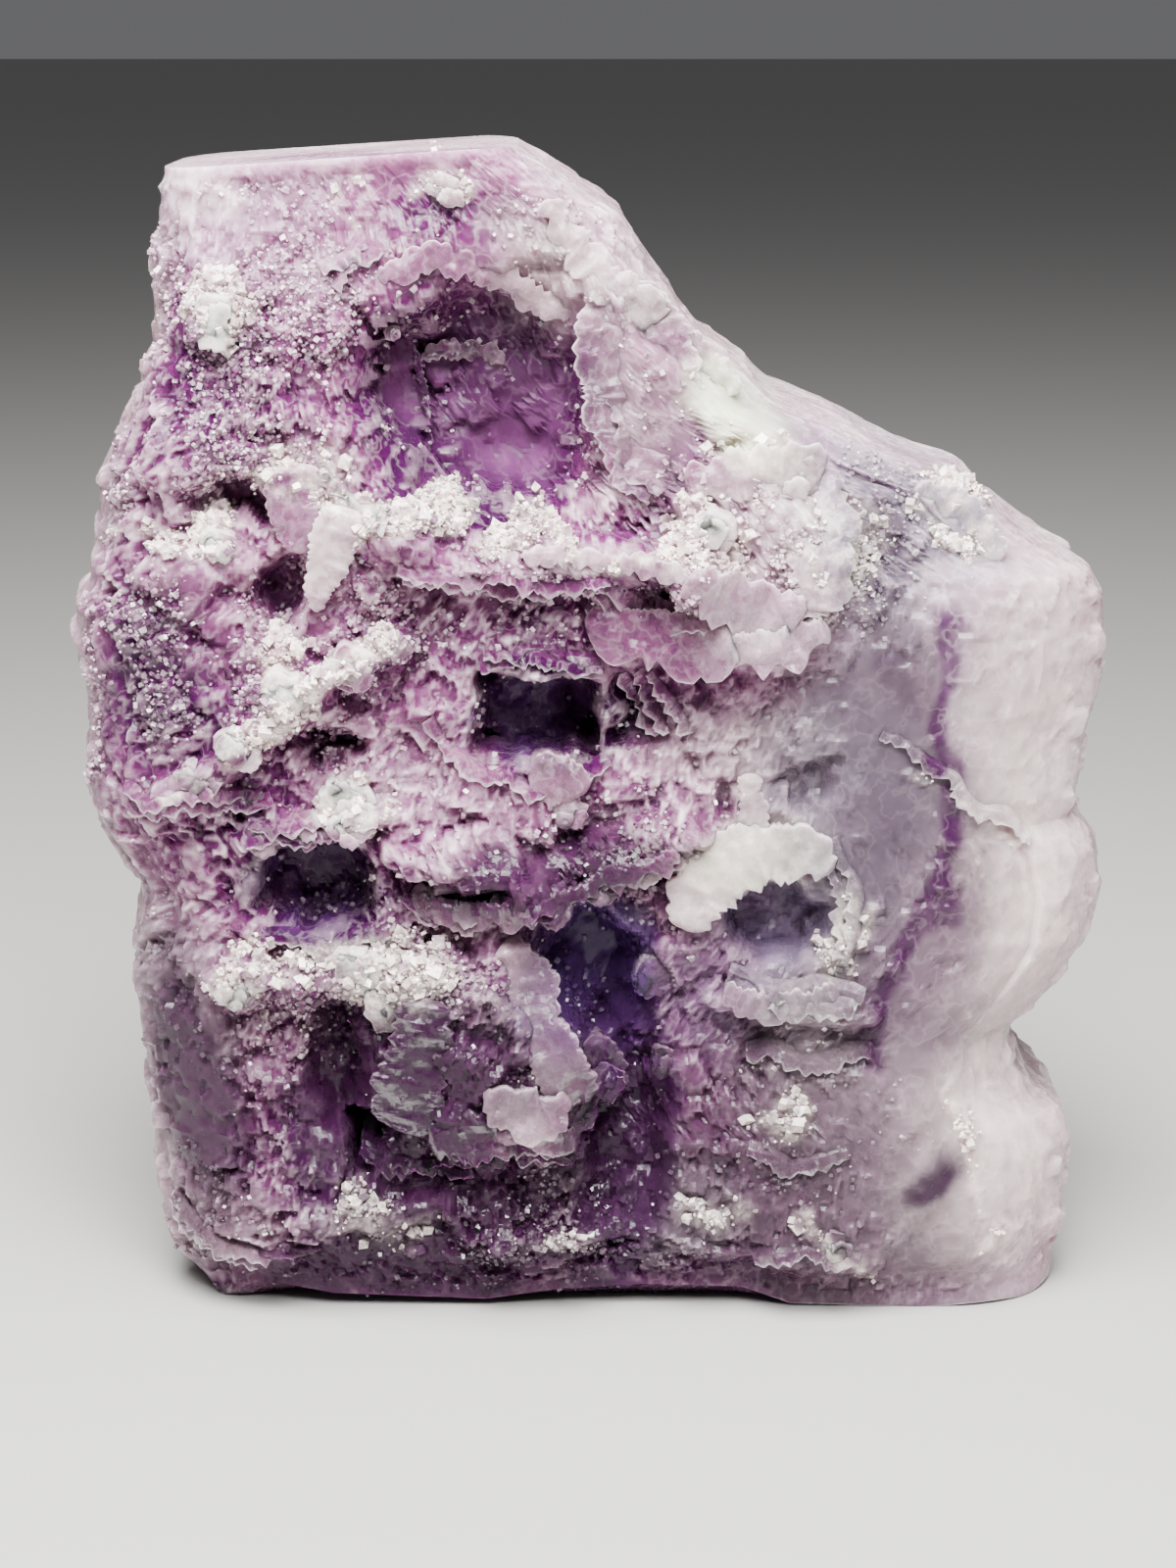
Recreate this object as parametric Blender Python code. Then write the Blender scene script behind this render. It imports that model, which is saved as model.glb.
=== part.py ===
"""A fluorite crystal cluster, one piece of purple stone that stands on its flat broken base.

Lengths are in millimetres in the named values and in metres in the finished object. X runs to the
right, Y to the back and Z up. The origin is the middle of the resting face.
"""

import math

import bmesh
import bpy
import numpy as np
from mathutils import Euler, Matrix, Vector

MM = 0.001

# Overall size of the slab
HALF_THICK = 17.5
BASE_FRONT = 12.0
TOP_FRONT = 14.0
BODY_TRIANGLES = 6900
# Middle of the finished cluster, left to right and front to back, from the slab's own middle
MIDDLE_X = 0.24
MIDDLE_Y = -3.77

# The slab's left and right edges as (height, x), from the base up
LEFT_EDGE = (
    (0, -31.5), (3, -33), (6, -34), (12, -34.5), (19, -35), (25, -36), (28.5, -36), (33, -35.5),
    (36, -37), (39, -39), (44.5, -39.5), (49, -39), (52.5, -40), (55.5, -40), (57, -38.5),
    (61, -38), (65, -37.5), (68, -36), (71, -34.5), (74, -34), (75, -33), (82, -33), (90, -32),
)
RIGHT_EDGE = (
    (0, 37.5), (7, 38), (12, 38.5), (14.5, 37.5), (16, 35.5), (18, 34.5), (21.5, 34), (23, 35.5),
    (26, 38), (29, 40), (33, 40.5), (36, 40), (38.5, 38), (41, 38.5), (46, 39), (48, 39.5),
    (51.5, 40), (56, 39.5), (58, 38.5), (59, 36.5), (60, 34.5), (62.5, 31.5), (64.5, 29.5),
    (65.5, 26.5), (67, 23), (69, 19.5), (71, 14.5), (74, 11), (76, 8), (79, 6), (82, 4), (85, 2),
    (87, -1), (89, -4), (90, -5.5),
)
# The lowest line of the front, as (x, height): the base curls up from the table between its feet
FRONT_HEM = ((-32, 3), (-26, 2.5), (-20, 1.2), (-8, 0.7), (-2, 1.6), (4, 2), (12, 1.8), (16, 0.3), (26, 0), (38, 0.7))

# Hollows and swellings of the front: x, z, half width, half height, turn, flat share, height
ROUNDS = {
    "upper hollow": (-7, 71.5, 11.5, 12, -8, 0.35, -8.5),
    "bottom of the upper hollow": (-6, 65.3, 9.5, 3.8, 0, 0.5, -5),
    "cleft under the lump": (-27, 64.2, 5.2, 1.9, -5, 0.4, -4.5),
    "purple lump": (-31, 67.6, 6, 4.4, 0, 0.4, 2),
    "recess beside the tongues": (-23, 57, 2.4, 4, 0, 0.4, -5.5),
    "left block": (-31.5, 49.5, 8.5, 11, 0, 0.75, 1.6),
    "stepped side of the square pocket": (2, 47.4, 6, 4.4, 10, 0.3, -5),
    "slot under the ridge": (-19.3, 45.4, 3.2, 1.6, 10, 0.4, -4.5),
    "round pocket": (-21, 34.3, 4.7, 4.3, 0, 0.6, -11),
    "blue pocket": (-0.5, 27.6, 5.6, 6.6, 0, 0.5, -9.5),
    "indigo trough": (2.5, 14.5, 5.2, 15, 0, 0.3, -4),
    "arch hollow": (14.3, 31.6, 4.8, 3.8, 0, 0.55, -6.5),
    "slot left of the stalk": (10.4, 41.4, 1.6, 1.9, 0, 0.4, -4),
    "slot right of the stalk": (17, 43.4, 3.6, 3, 0, 0.4, -3),
    "black hole": (-17.4, 14, 1.9, 3.4, 0, 0.5, -7),
    "channel left of the blades": (-19.4, 20.5, 2.6, 7, 0, 0.4, -3.5),
    "right crust": (12.5, 59.5, 7.6, 9.4, 0, 0.6, 3.2),
    "blade lump": (-8, 21.4, 11, 10, 0, 0.45, 4),
    "lower right mass": (19, 12, 9.5, 11, 0, 0.6, 1.4),
    "sunken far right": (38, 30, 16, 34, 0, 0.1, -4),
    "upper right shoulder": (24, 64, 12, 9, -30, 0.3, -2),
    "upper left crust": (-27.6, 78.4, 3, 3.4, 0, 0.5, 1.4),
}
# Square-cornered hollows, named in the same way
SQUARES = {
    "square pocket": (-3.9, 47.7, 5.1, 3.7, -3, 0.72, -11),
}
# Ledges of the front: x and z of each end, half width above and below, height
LEDGES = {
    "white ledge": (-14.5, 61, 8, 59.8, 1.8, 3, 4.2),
    "left shelf": (-37, 59.6, -25, 60.4, 0.9, 3, 1.8),
    "low end of the slanted ridge": (-32, 41.5, -20, 50.5, 1.6, 2.6, 2.6),
    "high end of the slanted ridge": (-20, 50.5, -14.5, 53.5, 1.6, 2.6, 2.8),
    "left half of the middle ridge": (-14.5, 36.6, -4, 34.6, 3.4, 1.2, 3),
    "right half of the middle ridge": (-4, 34.6, 8, 38.4, 3.4, 1.2, 3),
    "rim over the round pocket": (-26, 38.6, -15, 40, 1.8, 1.2, 2),
    "rim under the round pocket": (-27.5, 28, -12, 29, 1.2, 3.4, 3.2),
    "lower right shelf": (10.5, 25.8, 20.5, 24.6, 1.1, 2, 2.2),
    "crust at the foot": (-22, 8, -11, 9.4, 1.4, 2, 1.6),
    "foot of the middle": (-6.5, 6.2, 4, 6.6, 1.6, 2, 1.6),
}

# Single crystals and plates grown out of the front: x, front y, z, width, height, thickness,
# spin about the view, nod (top leaning back), swing to the right
PLATES = {
    "skirt, far left": (1.6, -18.2, 54.6, 3.6, 3.4, 1.1, 40, -18, -6),
    "skirt, left": (4.2, -19, 53.6, 3.8, 3.8, 1.1, 47, -20, 4),
    "skirt, middle": (7, -19.4, 53, 4, 3.6, 1.2, 43, -16, 0),
    "skirt, right": (9.8, -19.2, 53, 3.4, 3.4, 1.1, 50, -20, 8),
    "skirt, behind": (5.6, -18.2, 55.6, 6.4, 3.4, 1.3, 8, -14, 0),
    "second skirt, left": (11.9, -20, 54, 3.6, 3.6, 1.2, 38, -22, -4),
    "second skirt, right": (15, -19.8, 53.4, 3.6, 3.4, 1.2, 50, -18, 10),
    "second skirt, end": (17.2, -19, 54, 3, 3, 1.1, 42, -12, 16),
    "crust, upper block": (10.4, -19.6, 64.6, 6.6, 5.4, 3, 12, 14, 0),
    "crust, corner block": (15.4, -19, 66.2, 4.4, 3.6, 3, -6, 10, 12),
    "crust, middle block": (13.6, -20.8, 60.4, 7.4, 6, 3, 20, 8, 6),
    "crust, side block": (9.4, -20, 59.8, 4.6, 5, 2.4, -12, 12, -10),
    "crust, low block": (14.4, -20.6, 56.6, 6.8, 4.6, 2.6, 34, -6, 8),
    "lilac plate": (3.4, -12.4, 72.6, 6.6, 10.6, 2, 3, 6, -6),
    "lilac plate's point": (3.6, -12.6, 67.6, 4.6, 4.6, 1.9, 45, 6, -6),
    "pink tongue": (-22.4, -18.2, 63, 3, 6.8, 2.2, -8, 6, -12),
    "pink tongue's tip": (-23.4, -18.4, 60.4, 2.2, 2.6, 2, 34, 6, -12),
    "pale tongue": (-19.2, -18.8, 60.2, 2.6, 7.4, 2.2, 10, 4, 8),
    "pale tongue's tip": (-20, -18.9, 56.8, 1.9, 2.2, 1.8, 48, 4, 8),
    "ledge block, left": (-12.6, -19.4, 60, 5.4, 3, 4, 6, 4, -4),
    "ledge block, middle": (-7.6, -20.2, 59.6, 6, 3.4, 4, -4, 6, 0),
    "ledge block, right": (-2.2, -19.6, 58.8, 5.2, 3.6, 4, 8, 4, 6),
    "ledge block, end": (3.6, -18.4, 59.6, 5.4, 2.6, 3.6, -6, 2, 8),
    "flap, left lobe": (7.9, -19.4, 34, 3.2, 4.6, 1.6, 22, -10, -22),
    "flap, left shoulder": (9.6, -20.2, 36.4, 3.4, 4, 1.6, 38, -8, -14),
    "flap, crown": (12.2, -20.8, 37.6, 4, 3.6, 1.6, 8, -6, -2),
    "flap, right shoulder": (15, -20.4, 37.8, 3.6, 3.4, 1.6, -6, -8, 10),
    "flap, right end": (17, -19.4, 36.4, 2.6, 3.4, 1.5, -24, -10, 20),
    "stalk": (12.7, -18, 40.6, 2, 3.6, 1.6, 4, -4, 0),
    "silver blade lump, dark plate": (-13, -19.6, 21, 6.6, 10.6, 2, 14, -4, -24),
    "blade lump, upper edge": (-10.4, -21, 26.4, 7, 2.2, 2.2, 32, 10, -10),
    "blade lump, grey plate": (-3.4, -19.6, 24.8, 4.6, 7.4, 1.6, 28, -6, 10),
    "blade lump, grey plate's foot": (-2, -20.4, 20.4, 4.4, 3.8, 1.5, 36, -10, 16),
    "blade lump, pale tab": (-4.8, -21.6, 16.8, 4.8, 3.2, 1.5, -8, -18, 0),
    "blade lump, pale tab's step": (-3, -20.8, 18, 3.6, 3, 1.6, 24, -14, 8),
    "blade lump, small plate": (-0.6, -20, 17.6, 3, 4, 1.3, 30, -8, 24),
    "blade lump, outer plate": (1.6, -19, 19.2, 2.4, 3.6, 1.2, 34, -6, 30),
    "blade lump, low plate": (-1.6, -20, 14.4, 3, 2.4, 1.3, 40, -16, 10),
    "blade lump, root plate": (-8.6, -19.8, 14.8, 5.4, 3.6, 2, 24, -12, 0),
    "loose plate, upper": (5.1, -15.6, 27.4, 3, 3.6, 1.4, 20, 4, 10),
    "loose plate, lower": (5.9, -14.6, 20.6, 1.7, 2.8, 1.2, 8, 0, 14),
    "middle ridge, first tooth": (-12.4, -19.4, 33.6, 3, 2.6, 1.4, 42, -14, -4),
    "middle ridge, second tooth": (-9.4, -19.8, 32.6, 3.2, 2.8, 1.4, 48, -16, 0),
    "middle ridge, third tooth": (-6.2, -20, 33, 3.2, 2.8, 1.4, 40, -16, 4),
    "middle ridge, fourth tooth": (-2.8, -20, 33.9, 3.4, 2.8, 1.4, 46, -16, 0),
    "middle ridge, fifth tooth": (0.8, -19.6, 35.2, 3.2, 2.8, 1.4, 42, -14, 6),
    "middle ridge, sixth tooth": (4.2, -19, 36.6, 3.2, 2.8, 1.4, 48, -14, 10),
    "pocket rim, left": (-24.8, -18.6, 38.6, 3, 2.4, 1.4, 40, -12, -8),
    "pocket rim, middle": (-21.6, -19, 39.2, 3, 2.4, 1.4, 46, -12, 0),
    "pocket rim, right": (-18.2, -19, 39.6, 3.2, 2.4, 1.4, 42, -12, 8),
    "low crust, left": (-17.6, -19.2, 28.6, 5, 3.4, 3, 12, 8, -8),
    "low crust, middle": (-15.4, -20, 25.8, 3.6, 4.4, 2.4, -14, 6, 0),
    "white tip": (-27, -17.6, 27, 2.6, 2.8, 2, 36, 4, -20),
    "slanted ridge, lowest block": (-29.4, -17.8, 43.4, 4, 2.6, 2.4, 34, 8, -10),
    "slanted ridge, low block": (-26.2, -18.2, 46, 4, 2.8, 2.4, 40, 8, -6),
    "slanted ridge, high block": (-22.6, -18.6, 49.8, 4.2, 4, 2.6, 30, 8, 0),
    "slanted ridge, top block": (-17.6, -18.4, 52, 4.4, 3.4, 2.4, 24, 8, 6),
    "blob on the rim": (-18.2, -18.8, 41.6, 5, 2.8, 2.4, 16, 10, 4),
    "white blob on the shelf": (-27.6, -17.4, 61.2, 2.8, 2.8, 2.2, 20, 12, 0),
    "upper left crust block": (-27.6, -16.6, 77.6, 3.2, 4.4, 2, 8, 10, -6),
    "slanted blade": (-10.6, -14.8, 87, 3.4, 2.2, 1.4, 24, 14, 0),
    "bright cube": (19.2, -17.6, 6.2, 2.6, 2.4, 2, 14, 10, 6),
    "lower right step": (15.4, -18.6, 24, 9, 1.8, 2, 6, -4, 4),
    "lower right ledge": (21, -17.8, 17.4, 8.6, 4.4, 2.4, 12, 8, 10),
    "lower right foot": (15, -18, 8.6, 7, 6, 2.4, -10, 4, -4),
    "far right ledge": (30, -12.4, 11.6, 8, 7, 3, 8, 4, 18),
    "silver facet": (28.4, -9, 61.4, 6.4, 3.2, 3, 24, 30, 10),
    "shoulder block": (21.6, -12, 62, 6, 5, 3, 18, 18, 14),
    "cube in the hollow": (-14.6, -14, 76.4, 1.2, 1.2, 1.2, 10, 10, 10),
}


def rnd(i, j, k, salt):
    """A repeatable number from 0 to 1 for each lattice cell: the cell's whole numbers are mixed."""
    h = (i * 73856093) ^ (j * 19349663) ^ (k * 83492791) ^ (salt * 40503001)
    h = (h ^ (h >> 13)) * 1274126177 & 0x7FFFFFFF
    h = (h ^ (h >> 15)) * 668265263 & 0x7FFFFFFF
    return ((h ^ (h >> 11)) & 0xFFFFF) / 1048576.0


def smooth(low, high, value):
    """An S-shaped step from 0 at low to 1 at high."""
    t = np.clip((value - low) / (high - low), 0.0, 1.0)
    return t * t * (3.0 - 2.0 * t)


def noise(points, scale, salt):
    """Soft random hills: each lattice cube's corner values, blended between with S-shaped weights."""
    q = points / scale
    cell = np.floor(q).astype(np.int64)
    f = q - cell
    f = f * f * (3.0 - 2.0 * f)
    total = np.zeros(len(points))
    for corner in range(8):
        d = np.array([corner & 1, (corner >> 1) & 1, corner >> 2])
        weight = np.prod(np.where(d, f, 1.0 - f), axis=1)
        c = cell + d
        total += weight * rnd(c[:, 0], c[:, 1], c[:, 2], salt)
    return total * 2.0 - 1.0


def relief(x, z):
    """How far the front stands out at x, z: rounds and squares fade from their flat middle to their
    rim, ledges fall off on either side of a line."""
    total = np.zeros(np.shape(x))
    for cx, cz, rx, rz, turn, flat, height in ROUNDS.values():
        c, s = math.cos(math.radians(turn)), math.sin(math.radians(turn))
        u = ((x - cx) * c + (z - cz) * s) / rx
        w = ((z - cz) * c - (x - cx) * s) / rz
        total = total + height * smooth(1.0, flat, np.sqrt(u * u + w * w))
    for cx, cz, rx, rz, turn, flat, height in SQUARES.values():
        c, s = math.cos(math.radians(turn)), math.sin(math.radians(turn))
        u = np.abs((x - cx) * c + (z - cz) * s) / rx
        w = np.abs((z - cz) * c - (x - cx) * s) / rz
        total = total + height * smooth(1.0, flat, np.maximum(u, w))
    for x0, z0, x1, z1, above, below, height in LEDGES.values():
        run = math.hypot(x1 - x0, z1 - z0)
        ax, az = (x1 - x0) / run, (z1 - z0) / run
        along = (x - x0) * ax + (z - z0) * az
        past = np.maximum(0.0, np.maximum(-along, along - run))
        across = (z - z0) * ax - (x - x0) * az
        reach = np.where(across > 0, above, below)
        total = total + height * smooth(1.0, 0.25, np.hypot(across / reach, past / 2.0))
    return total


def crystal_share(x, z, front):
    """How strongly crystals show: full on the left and middle of the front, faint on its right."""
    right = smooth(6.0, 20.0, x - 0.2 * np.maximum(z - 45.0, 0.0))
    return np.where(front > 0.3, 1.0 - 0.7 * right, 0.45)


def crystals(points, normals, front, spacing, salt, chance):
    """Height of intergrown cubes over the smooth slab. Each lattice cell near the surface holds one
    cube, turned with its neighbours; a point's height is the furthest exit of its normal from them."""
    height = np.full(len(points), -99.0)
    base = np.floor(points / spacing).astype(np.int64)
    for di in (-1, 0, 1):
        for dj in (-1, 0, 1):
            for dk in (-1, 0, 1):
                i, j, k = base[:, 0] + di, base[:, 1] + dj, base[:, 2] + dk
                cell = np.stack([i, j, k], axis=1)
                jitter = np.stack([rnd(i, j, k, salt + n) for n in (1, 2, 3)], axis=1)
                centre = (cell + 0.2 + 0.6 * jitter) * spacing
                away = points - centre
                depth = np.einsum("ij,ij->i", away, normals)
                flat = away - depth[:, None] * normals
                patch = np.floor(centre / 17.0 + 0.3 * jitter).astype(np.int64)
                turn = 1.5 * rnd(patch[:, 0], patch[:, 1], patch[:, 2], 71)
                turn = turn + 0.24 * (rnd(i, j, k, salt + 4) - 0.5)
                nod = 0.75 * (rnd(patch[:, 0], patch[:, 1], patch[:, 2], 72) - 0.5)
                nod = nod + 0.22 * (rnd(i, j, k, salt + 5) - 0.5)
                swing = 0.75 * (rnd(patch[:, 0], patch[:, 1], patch[:, 2], 73) - 0.5)
                swing = swing + 0.22 * (rnd(i, j, k, salt + 6) - 0.5)
                side = np.stack([-normals[:, 1], normals[:, 0], np.zeros(len(points))], axis=1)
                side /= np.maximum(np.linalg.norm(side, axis=1), 1e-6)[:, None]
                up = np.cross(normals, side)
                a = side * np.cos(turn)[:, None] + up * np.sin(turn)[:, None]
                b = up * np.cos(turn)[:, None] - side * np.sin(turn)[:, None]
                face = normals + a * np.tan(nod)[:, None] + b * np.tan(swing)[:, None]
                face /= np.linalg.norm(face, axis=1)[:, None]
                a = a - face * np.einsum("ij,ij->i", a, face)[:, None]
                a /= np.linalg.norm(a, axis=1)[:, None]
                b = np.cross(face, a)
                share = crystal_share(centre[:, 0], centre[:, 2], front)
                size = spacing * (0.26 + 0.2 * rnd(i, j, k, salt + 7)) * (0.7 + 0.3 * share)
                lift = relief(centre[:, 0], centre[:, 2]) * front
                lift = lift + (rnd(i, j, k, salt + 8) - 0.75) * 0.45 * spacing - (1 - share) * 0.35 * spacing
                leave = np.full(len(points), 99.0)
                enter = np.full(len(points), -99.0)
                for axis, long in ((face, 0.55), (a, 1.0), (b, 1.0)):
                    facing = np.einsum("ij,ij->i", axis, normals)
                    facing = np.where(np.abs(facing) < 0.03, 0.03, facing)
                    across = np.einsum("ij,ij->i", axis, flat)
                    t0 = (size * long - across) / facing
                    t1 = (-size * long - across) / facing
                    leave = np.minimum(leave, np.maximum(t0, t1))
                    enter = np.maximum(enter, np.minimum(t0, t1))
                inside = (leave > enter) & (np.abs(depth) < 0.6 * spacing) & (rnd(i, j, k, salt + 9) < chance)
                height = np.maximum(height, np.where(inside, leave + lift, -99.0))
    return height


def slab_grid(front_steps, corner_steps, side_steps, back_steps, rows, cap_rows):
    """Smooth slab as rows of points round a rounded rectangle, with its outward level directions.
    Each row's rectangle spans the two edge profiles at its height; cap rows shrink to a point."""
    loop = []
    rx, ry = 0.26, 0.6
    for n in range(front_steps):
        loop.append((-(1 - rx) + 2 * (1 - rx) * n / front_steps, -1.0, 0.0, -1.0))
    for n in range(corner_steps):
        g = math.pi / 2 * n / corner_steps
        loop.append(((1 - rx) + rx * math.sin(g), -(1 - ry) - ry * math.cos(g), math.sin(g), -math.cos(g)))
    for n in range(side_steps):
        loop.append((1.0, -(1 - ry) + 2 * (1 - ry) * n / side_steps, 1.0, 0.0))
    for n in range(corner_steps):
        g = math.pi / 2 * n / corner_steps
        loop.append(((1 - rx) + rx * math.cos(g), (1 - ry) + ry * math.sin(g), math.cos(g), math.sin(g)))
    for n in range(back_steps):
        loop.append(((1 - rx) - 2 * (1 - rx) * n / back_steps, 1.0, 0.0, 1.0))
    for n in range(corner_steps):
        g = math.pi / 2 * n / corner_steps
        loop.append((-(1 - rx) - rx * math.sin(g), (1 - ry) + ry * math.cos(g), -math.sin(g), math.cos(g)))
    for n in range(side_steps):
        loop.append((-1.0, (1 - ry) - 2 * (1 - ry) * n / side_steps, -1.0, 0.0))
    for n in range(corner_steps):
        g = math.pi / 2 * n / corner_steps
        loop.append((-(1 - rx) - rx * math.cos(g), -(1 - ry) - ry * math.sin(g), -math.cos(g), -math.sin(g)))
    loop = np.array(loop)
    levels = np.concatenate([np.zeros(cap_rows), np.linspace(0, 1, rows), np.ones(cap_rows)])
    shrink = np.concatenate([np.linspace(0.02, 0.97, cap_rows), np.ones(rows), np.linspace(0.97, 0.02, cap_rows)])
    lz, lx = np.array(LEFT_EDGE, float).T
    rz, rxx = np.array(RIGHT_EDGE, float).T
    v, u = np.meshgrid(levels, np.arange(len(loop)), indexing="ij")
    z = v * 90.0
    left = np.interp(z, lz, lx)
    right = np.interp(z, rz, rxx)
    s = shrink[:, None]
    x = (left + right) / 2 + (right - left) / 2 * loop[u, 0] * s
    thick = HALF_THICK - 3.5 * smooth(72.0, 90.0, z) - 2.5 * smooth(6.0, 0.0, z)
    y = thick * loop[u, 1] * s
    points = np.stack([x, y, z], axis=-1)
    out = np.stack([loop[u, 2], loop[u, 3], np.zeros(u.shape)], axis=-1)
    return points, out, np.broadcast_to(s, z.shape)


def body_points():
    """Points of the crystal-covered slab: the smooth slab moved along its level outward directions by
    the front's relief, two sizes of cubes, and a little roughness; the two flat caps stay flat."""
    grid, out, shrink = slab_grid(150, 22, 22, 60, 190, 14)
    shape = grid.shape[:2]
    p, n = grid.reshape(-1, 3), out.reshape(-1, 3)
    front = smooth(0.15, 0.85, -n[:, 1]) * (p[:, 1] < 0)
    back = smooth(0.3, 0.9, n[:, 1])
    top = np.interp(p[:, 0], (-33, -5), (88.4, 90.2))
    edge = smooth(0.0, 1.8, p[:, 2]) * smooth(0.3, 2.2, top - p[:, 2])
    cap = (shrink.reshape(-1) < 1.0) | (p[:, 2] < 0.01) | (p[:, 2] > 89.99)
    low = relief(p[:, 0], p[:, 2]) * front - 0.8 * (1 - front)
    big = crystals(p, n, front, 5.6, 100, 0.6)
    mid = crystals(p, n, front, 3.0, 300, 0.85)
    wide = crystals(p, n, front, 15.0, 500, 1.0)
    rough = 1.1 * noise(p, 9.0, 5) + 0.4 * noise(p, 3.1, 6)
    broad = back * (2.2 * noise(p, 24.0, 7) - 1.0)
    sides = (1 - front) * (1 - back)
    grown = np.maximum(np.maximum(low - 0.9, big), mid)
    grown = np.where(back > 0.2, np.clip(np.maximum(0.7 * wide + 1.2, 0.3 * mid - 0.6), -2.5, 2.5), grown)
    grown = np.where(sides > 0, np.clip(grown, -1.6, 0.5), grown) * (1 - 0.45 * sides)
    move = (grown * (1 - 0.5 * back) + rough * (0.3 + 0.5 * back) + broad) * edge
    move = np.where(cap, 0.0, move)
    p = p + n * move[:, None]
    p[:, 2] = np.minimum(p[:, 2], np.interp(p[:, 0], (-33, -5), (88.4, 90.2)) - 0.03 * (1.0 - shrink.reshape(-1)))
    hx, hz = np.array(FRONT_HEM, float).T
    hem = np.interp(p[:, 0], hx, hz) * smooth(BASE_FRONT, BASE_FRONT + 3.5, -p[:, 1])
    tail = 1.4 * smooth(BASE_FRONT, BASE_FRONT + 5.5, p[:, 1])
    heel = 1.2 * smooth(28.0, 32.0, -p[:, 0]) + 0.6 * smooth(34.0, 38.0, p[:, 0])
    p[:, 2] += np.maximum(np.maximum(hem, tail), heel) * smooth(8.0, 0.0, p[:, 2])
    return p.reshape(shape + (3,))


def stone_material():
    """Translucent purple fluorite."""
    material = bpy.data.materials.new("purple_fluorite")
    material.use_nodes = True
    shader = material.node_tree.nodes["Principled BSDF"]
    shader.inputs["Base Color"].default_value = (0.20, 0.10, 0.24, 1.0)
    shader.inputs["Roughness"].default_value = 0.3
    shader.inputs["Metallic"].default_value = 0.0
    shader.inputs["IOR"].default_value = 1.434
    return material


def slab_object(name):
    """Closes the rows of points into a skin with a pole at each end."""
    rows = body_points() * MM
    count, around = rows.shape[:2]
    mesh = bpy.data.meshes.new(name)
    bm = bmesh.new()
    grid = [[bm.verts.new(rows[r, c]) for c in range(around)] for r in range(count)]
    foot = bm.verts.new(rows[0].mean(axis=0))
    head = bm.verts.new(rows[-1].mean(axis=0))
    for c in range(around):
        d = (c + 1) % around
        bm.faces.new((foot, grid[0][d], grid[0][c]))
        bm.faces.new((head, grid[-1][c], grid[-1][d]))
        for r in range(count - 1):
            bm.faces.new((grid[r][c], grid[r][d], grid[r + 1][d], grid[r + 1][c]))
    bmesh.ops.recalc_face_normals(bm, faces=bm.faces)
    bm.to_mesh(mesh)
    bm.free()
    body = bpy.data.objects.new(name, mesh)
    bpy.context.scene.collection.objects.link(body)
    return body


def apply_modifiers(thing):
    """Replaces the object's mesh with what its modifiers make of it."""
    bpy.context.view_layer.update()
    graph = bpy.context.evaluated_depsgraph_get()
    made = bpy.data.meshes.new_from_object(thing.evaluated_get(graph))
    thing.modifiers.clear()
    thing.data = made


def plate_group(hidden):
    """One object for each plate, kept in a hidden collection that the union reads."""
    for number, (name, row) in enumerate(PLATES.items()):
        x, y, z, width, high, thick, spin, nod, swing = row
        turn = Euler((math.radians(nod), math.radians(spin), math.radians(swing)), "YXZ").to_matrix().to_4x4()
        root = Vector((0.0, max(thick, 2.6), 0.0))
        bm = bmesh.new()
        bmesh.ops.create_cube(bm, size=1.0)
        for vert in bm.verts:
            deep = vert.co.y > 0
            grow = 0.82 if deep else 1.0
            vert.co = Vector((vert.co.x * width * grow, (root.y if deep else 0.0), vert.co.z * high * grow))
        bm.transform(Matrix.Translation((x, y, z)) @ turn)
        bm.transform(Matrix.Scale(MM, 4))
        mesh = bpy.data.meshes.new(f"plate_{number}")
        bm.to_mesh(mesh)
        bm.free()
        plate = bpy.data.objects.new(f"plate_{number}", mesh)
        plate.hide_render = True
        plate.display_type = "WIRE"
        hidden.objects.link(plate)


def build():
    """The slab with its crystals, thinned to flat facets, then joined with the plates on its front."""
    for thing in list(bpy.data.objects):
        bpy.data.objects.remove(thing)
    body = slab_object("fluorite_cluster")
    body.data.materials.append(stone_material())
    thin = body.modifiers.new("flat facets", "DECIMATE")
    thin.ratio = BODY_TRIANGLES / sum(len(f.vertices) - 2 for f in body.data.polygons)
    apply_modifiers(body)
    plates = bpy.data.collections.new("plates")
    bpy.context.scene.collection.children.link(plates)
    plate_group(plates)
    join = body.modifiers.new("grown together", "BOOLEAN")
    join.operation = "UNION"
    join.operand_type = "COLLECTION"
    join.collection = plates
    join.solver = "EXACT"
    join.use_self = True
    apply_modifiers(body)
    body.data.transform(Matrix.Translation((-MIDDLE_X * MM, -MIDDLE_Y * MM, 0.0)))


build()
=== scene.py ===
"""Fluorite crystal cluster: purple stone with plates, sugary crust and dark pockets, dressed over its
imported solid. Lengths are in millimetres from the slab's own middle until a mesh is made."""

import math
from functools import partial

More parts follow.
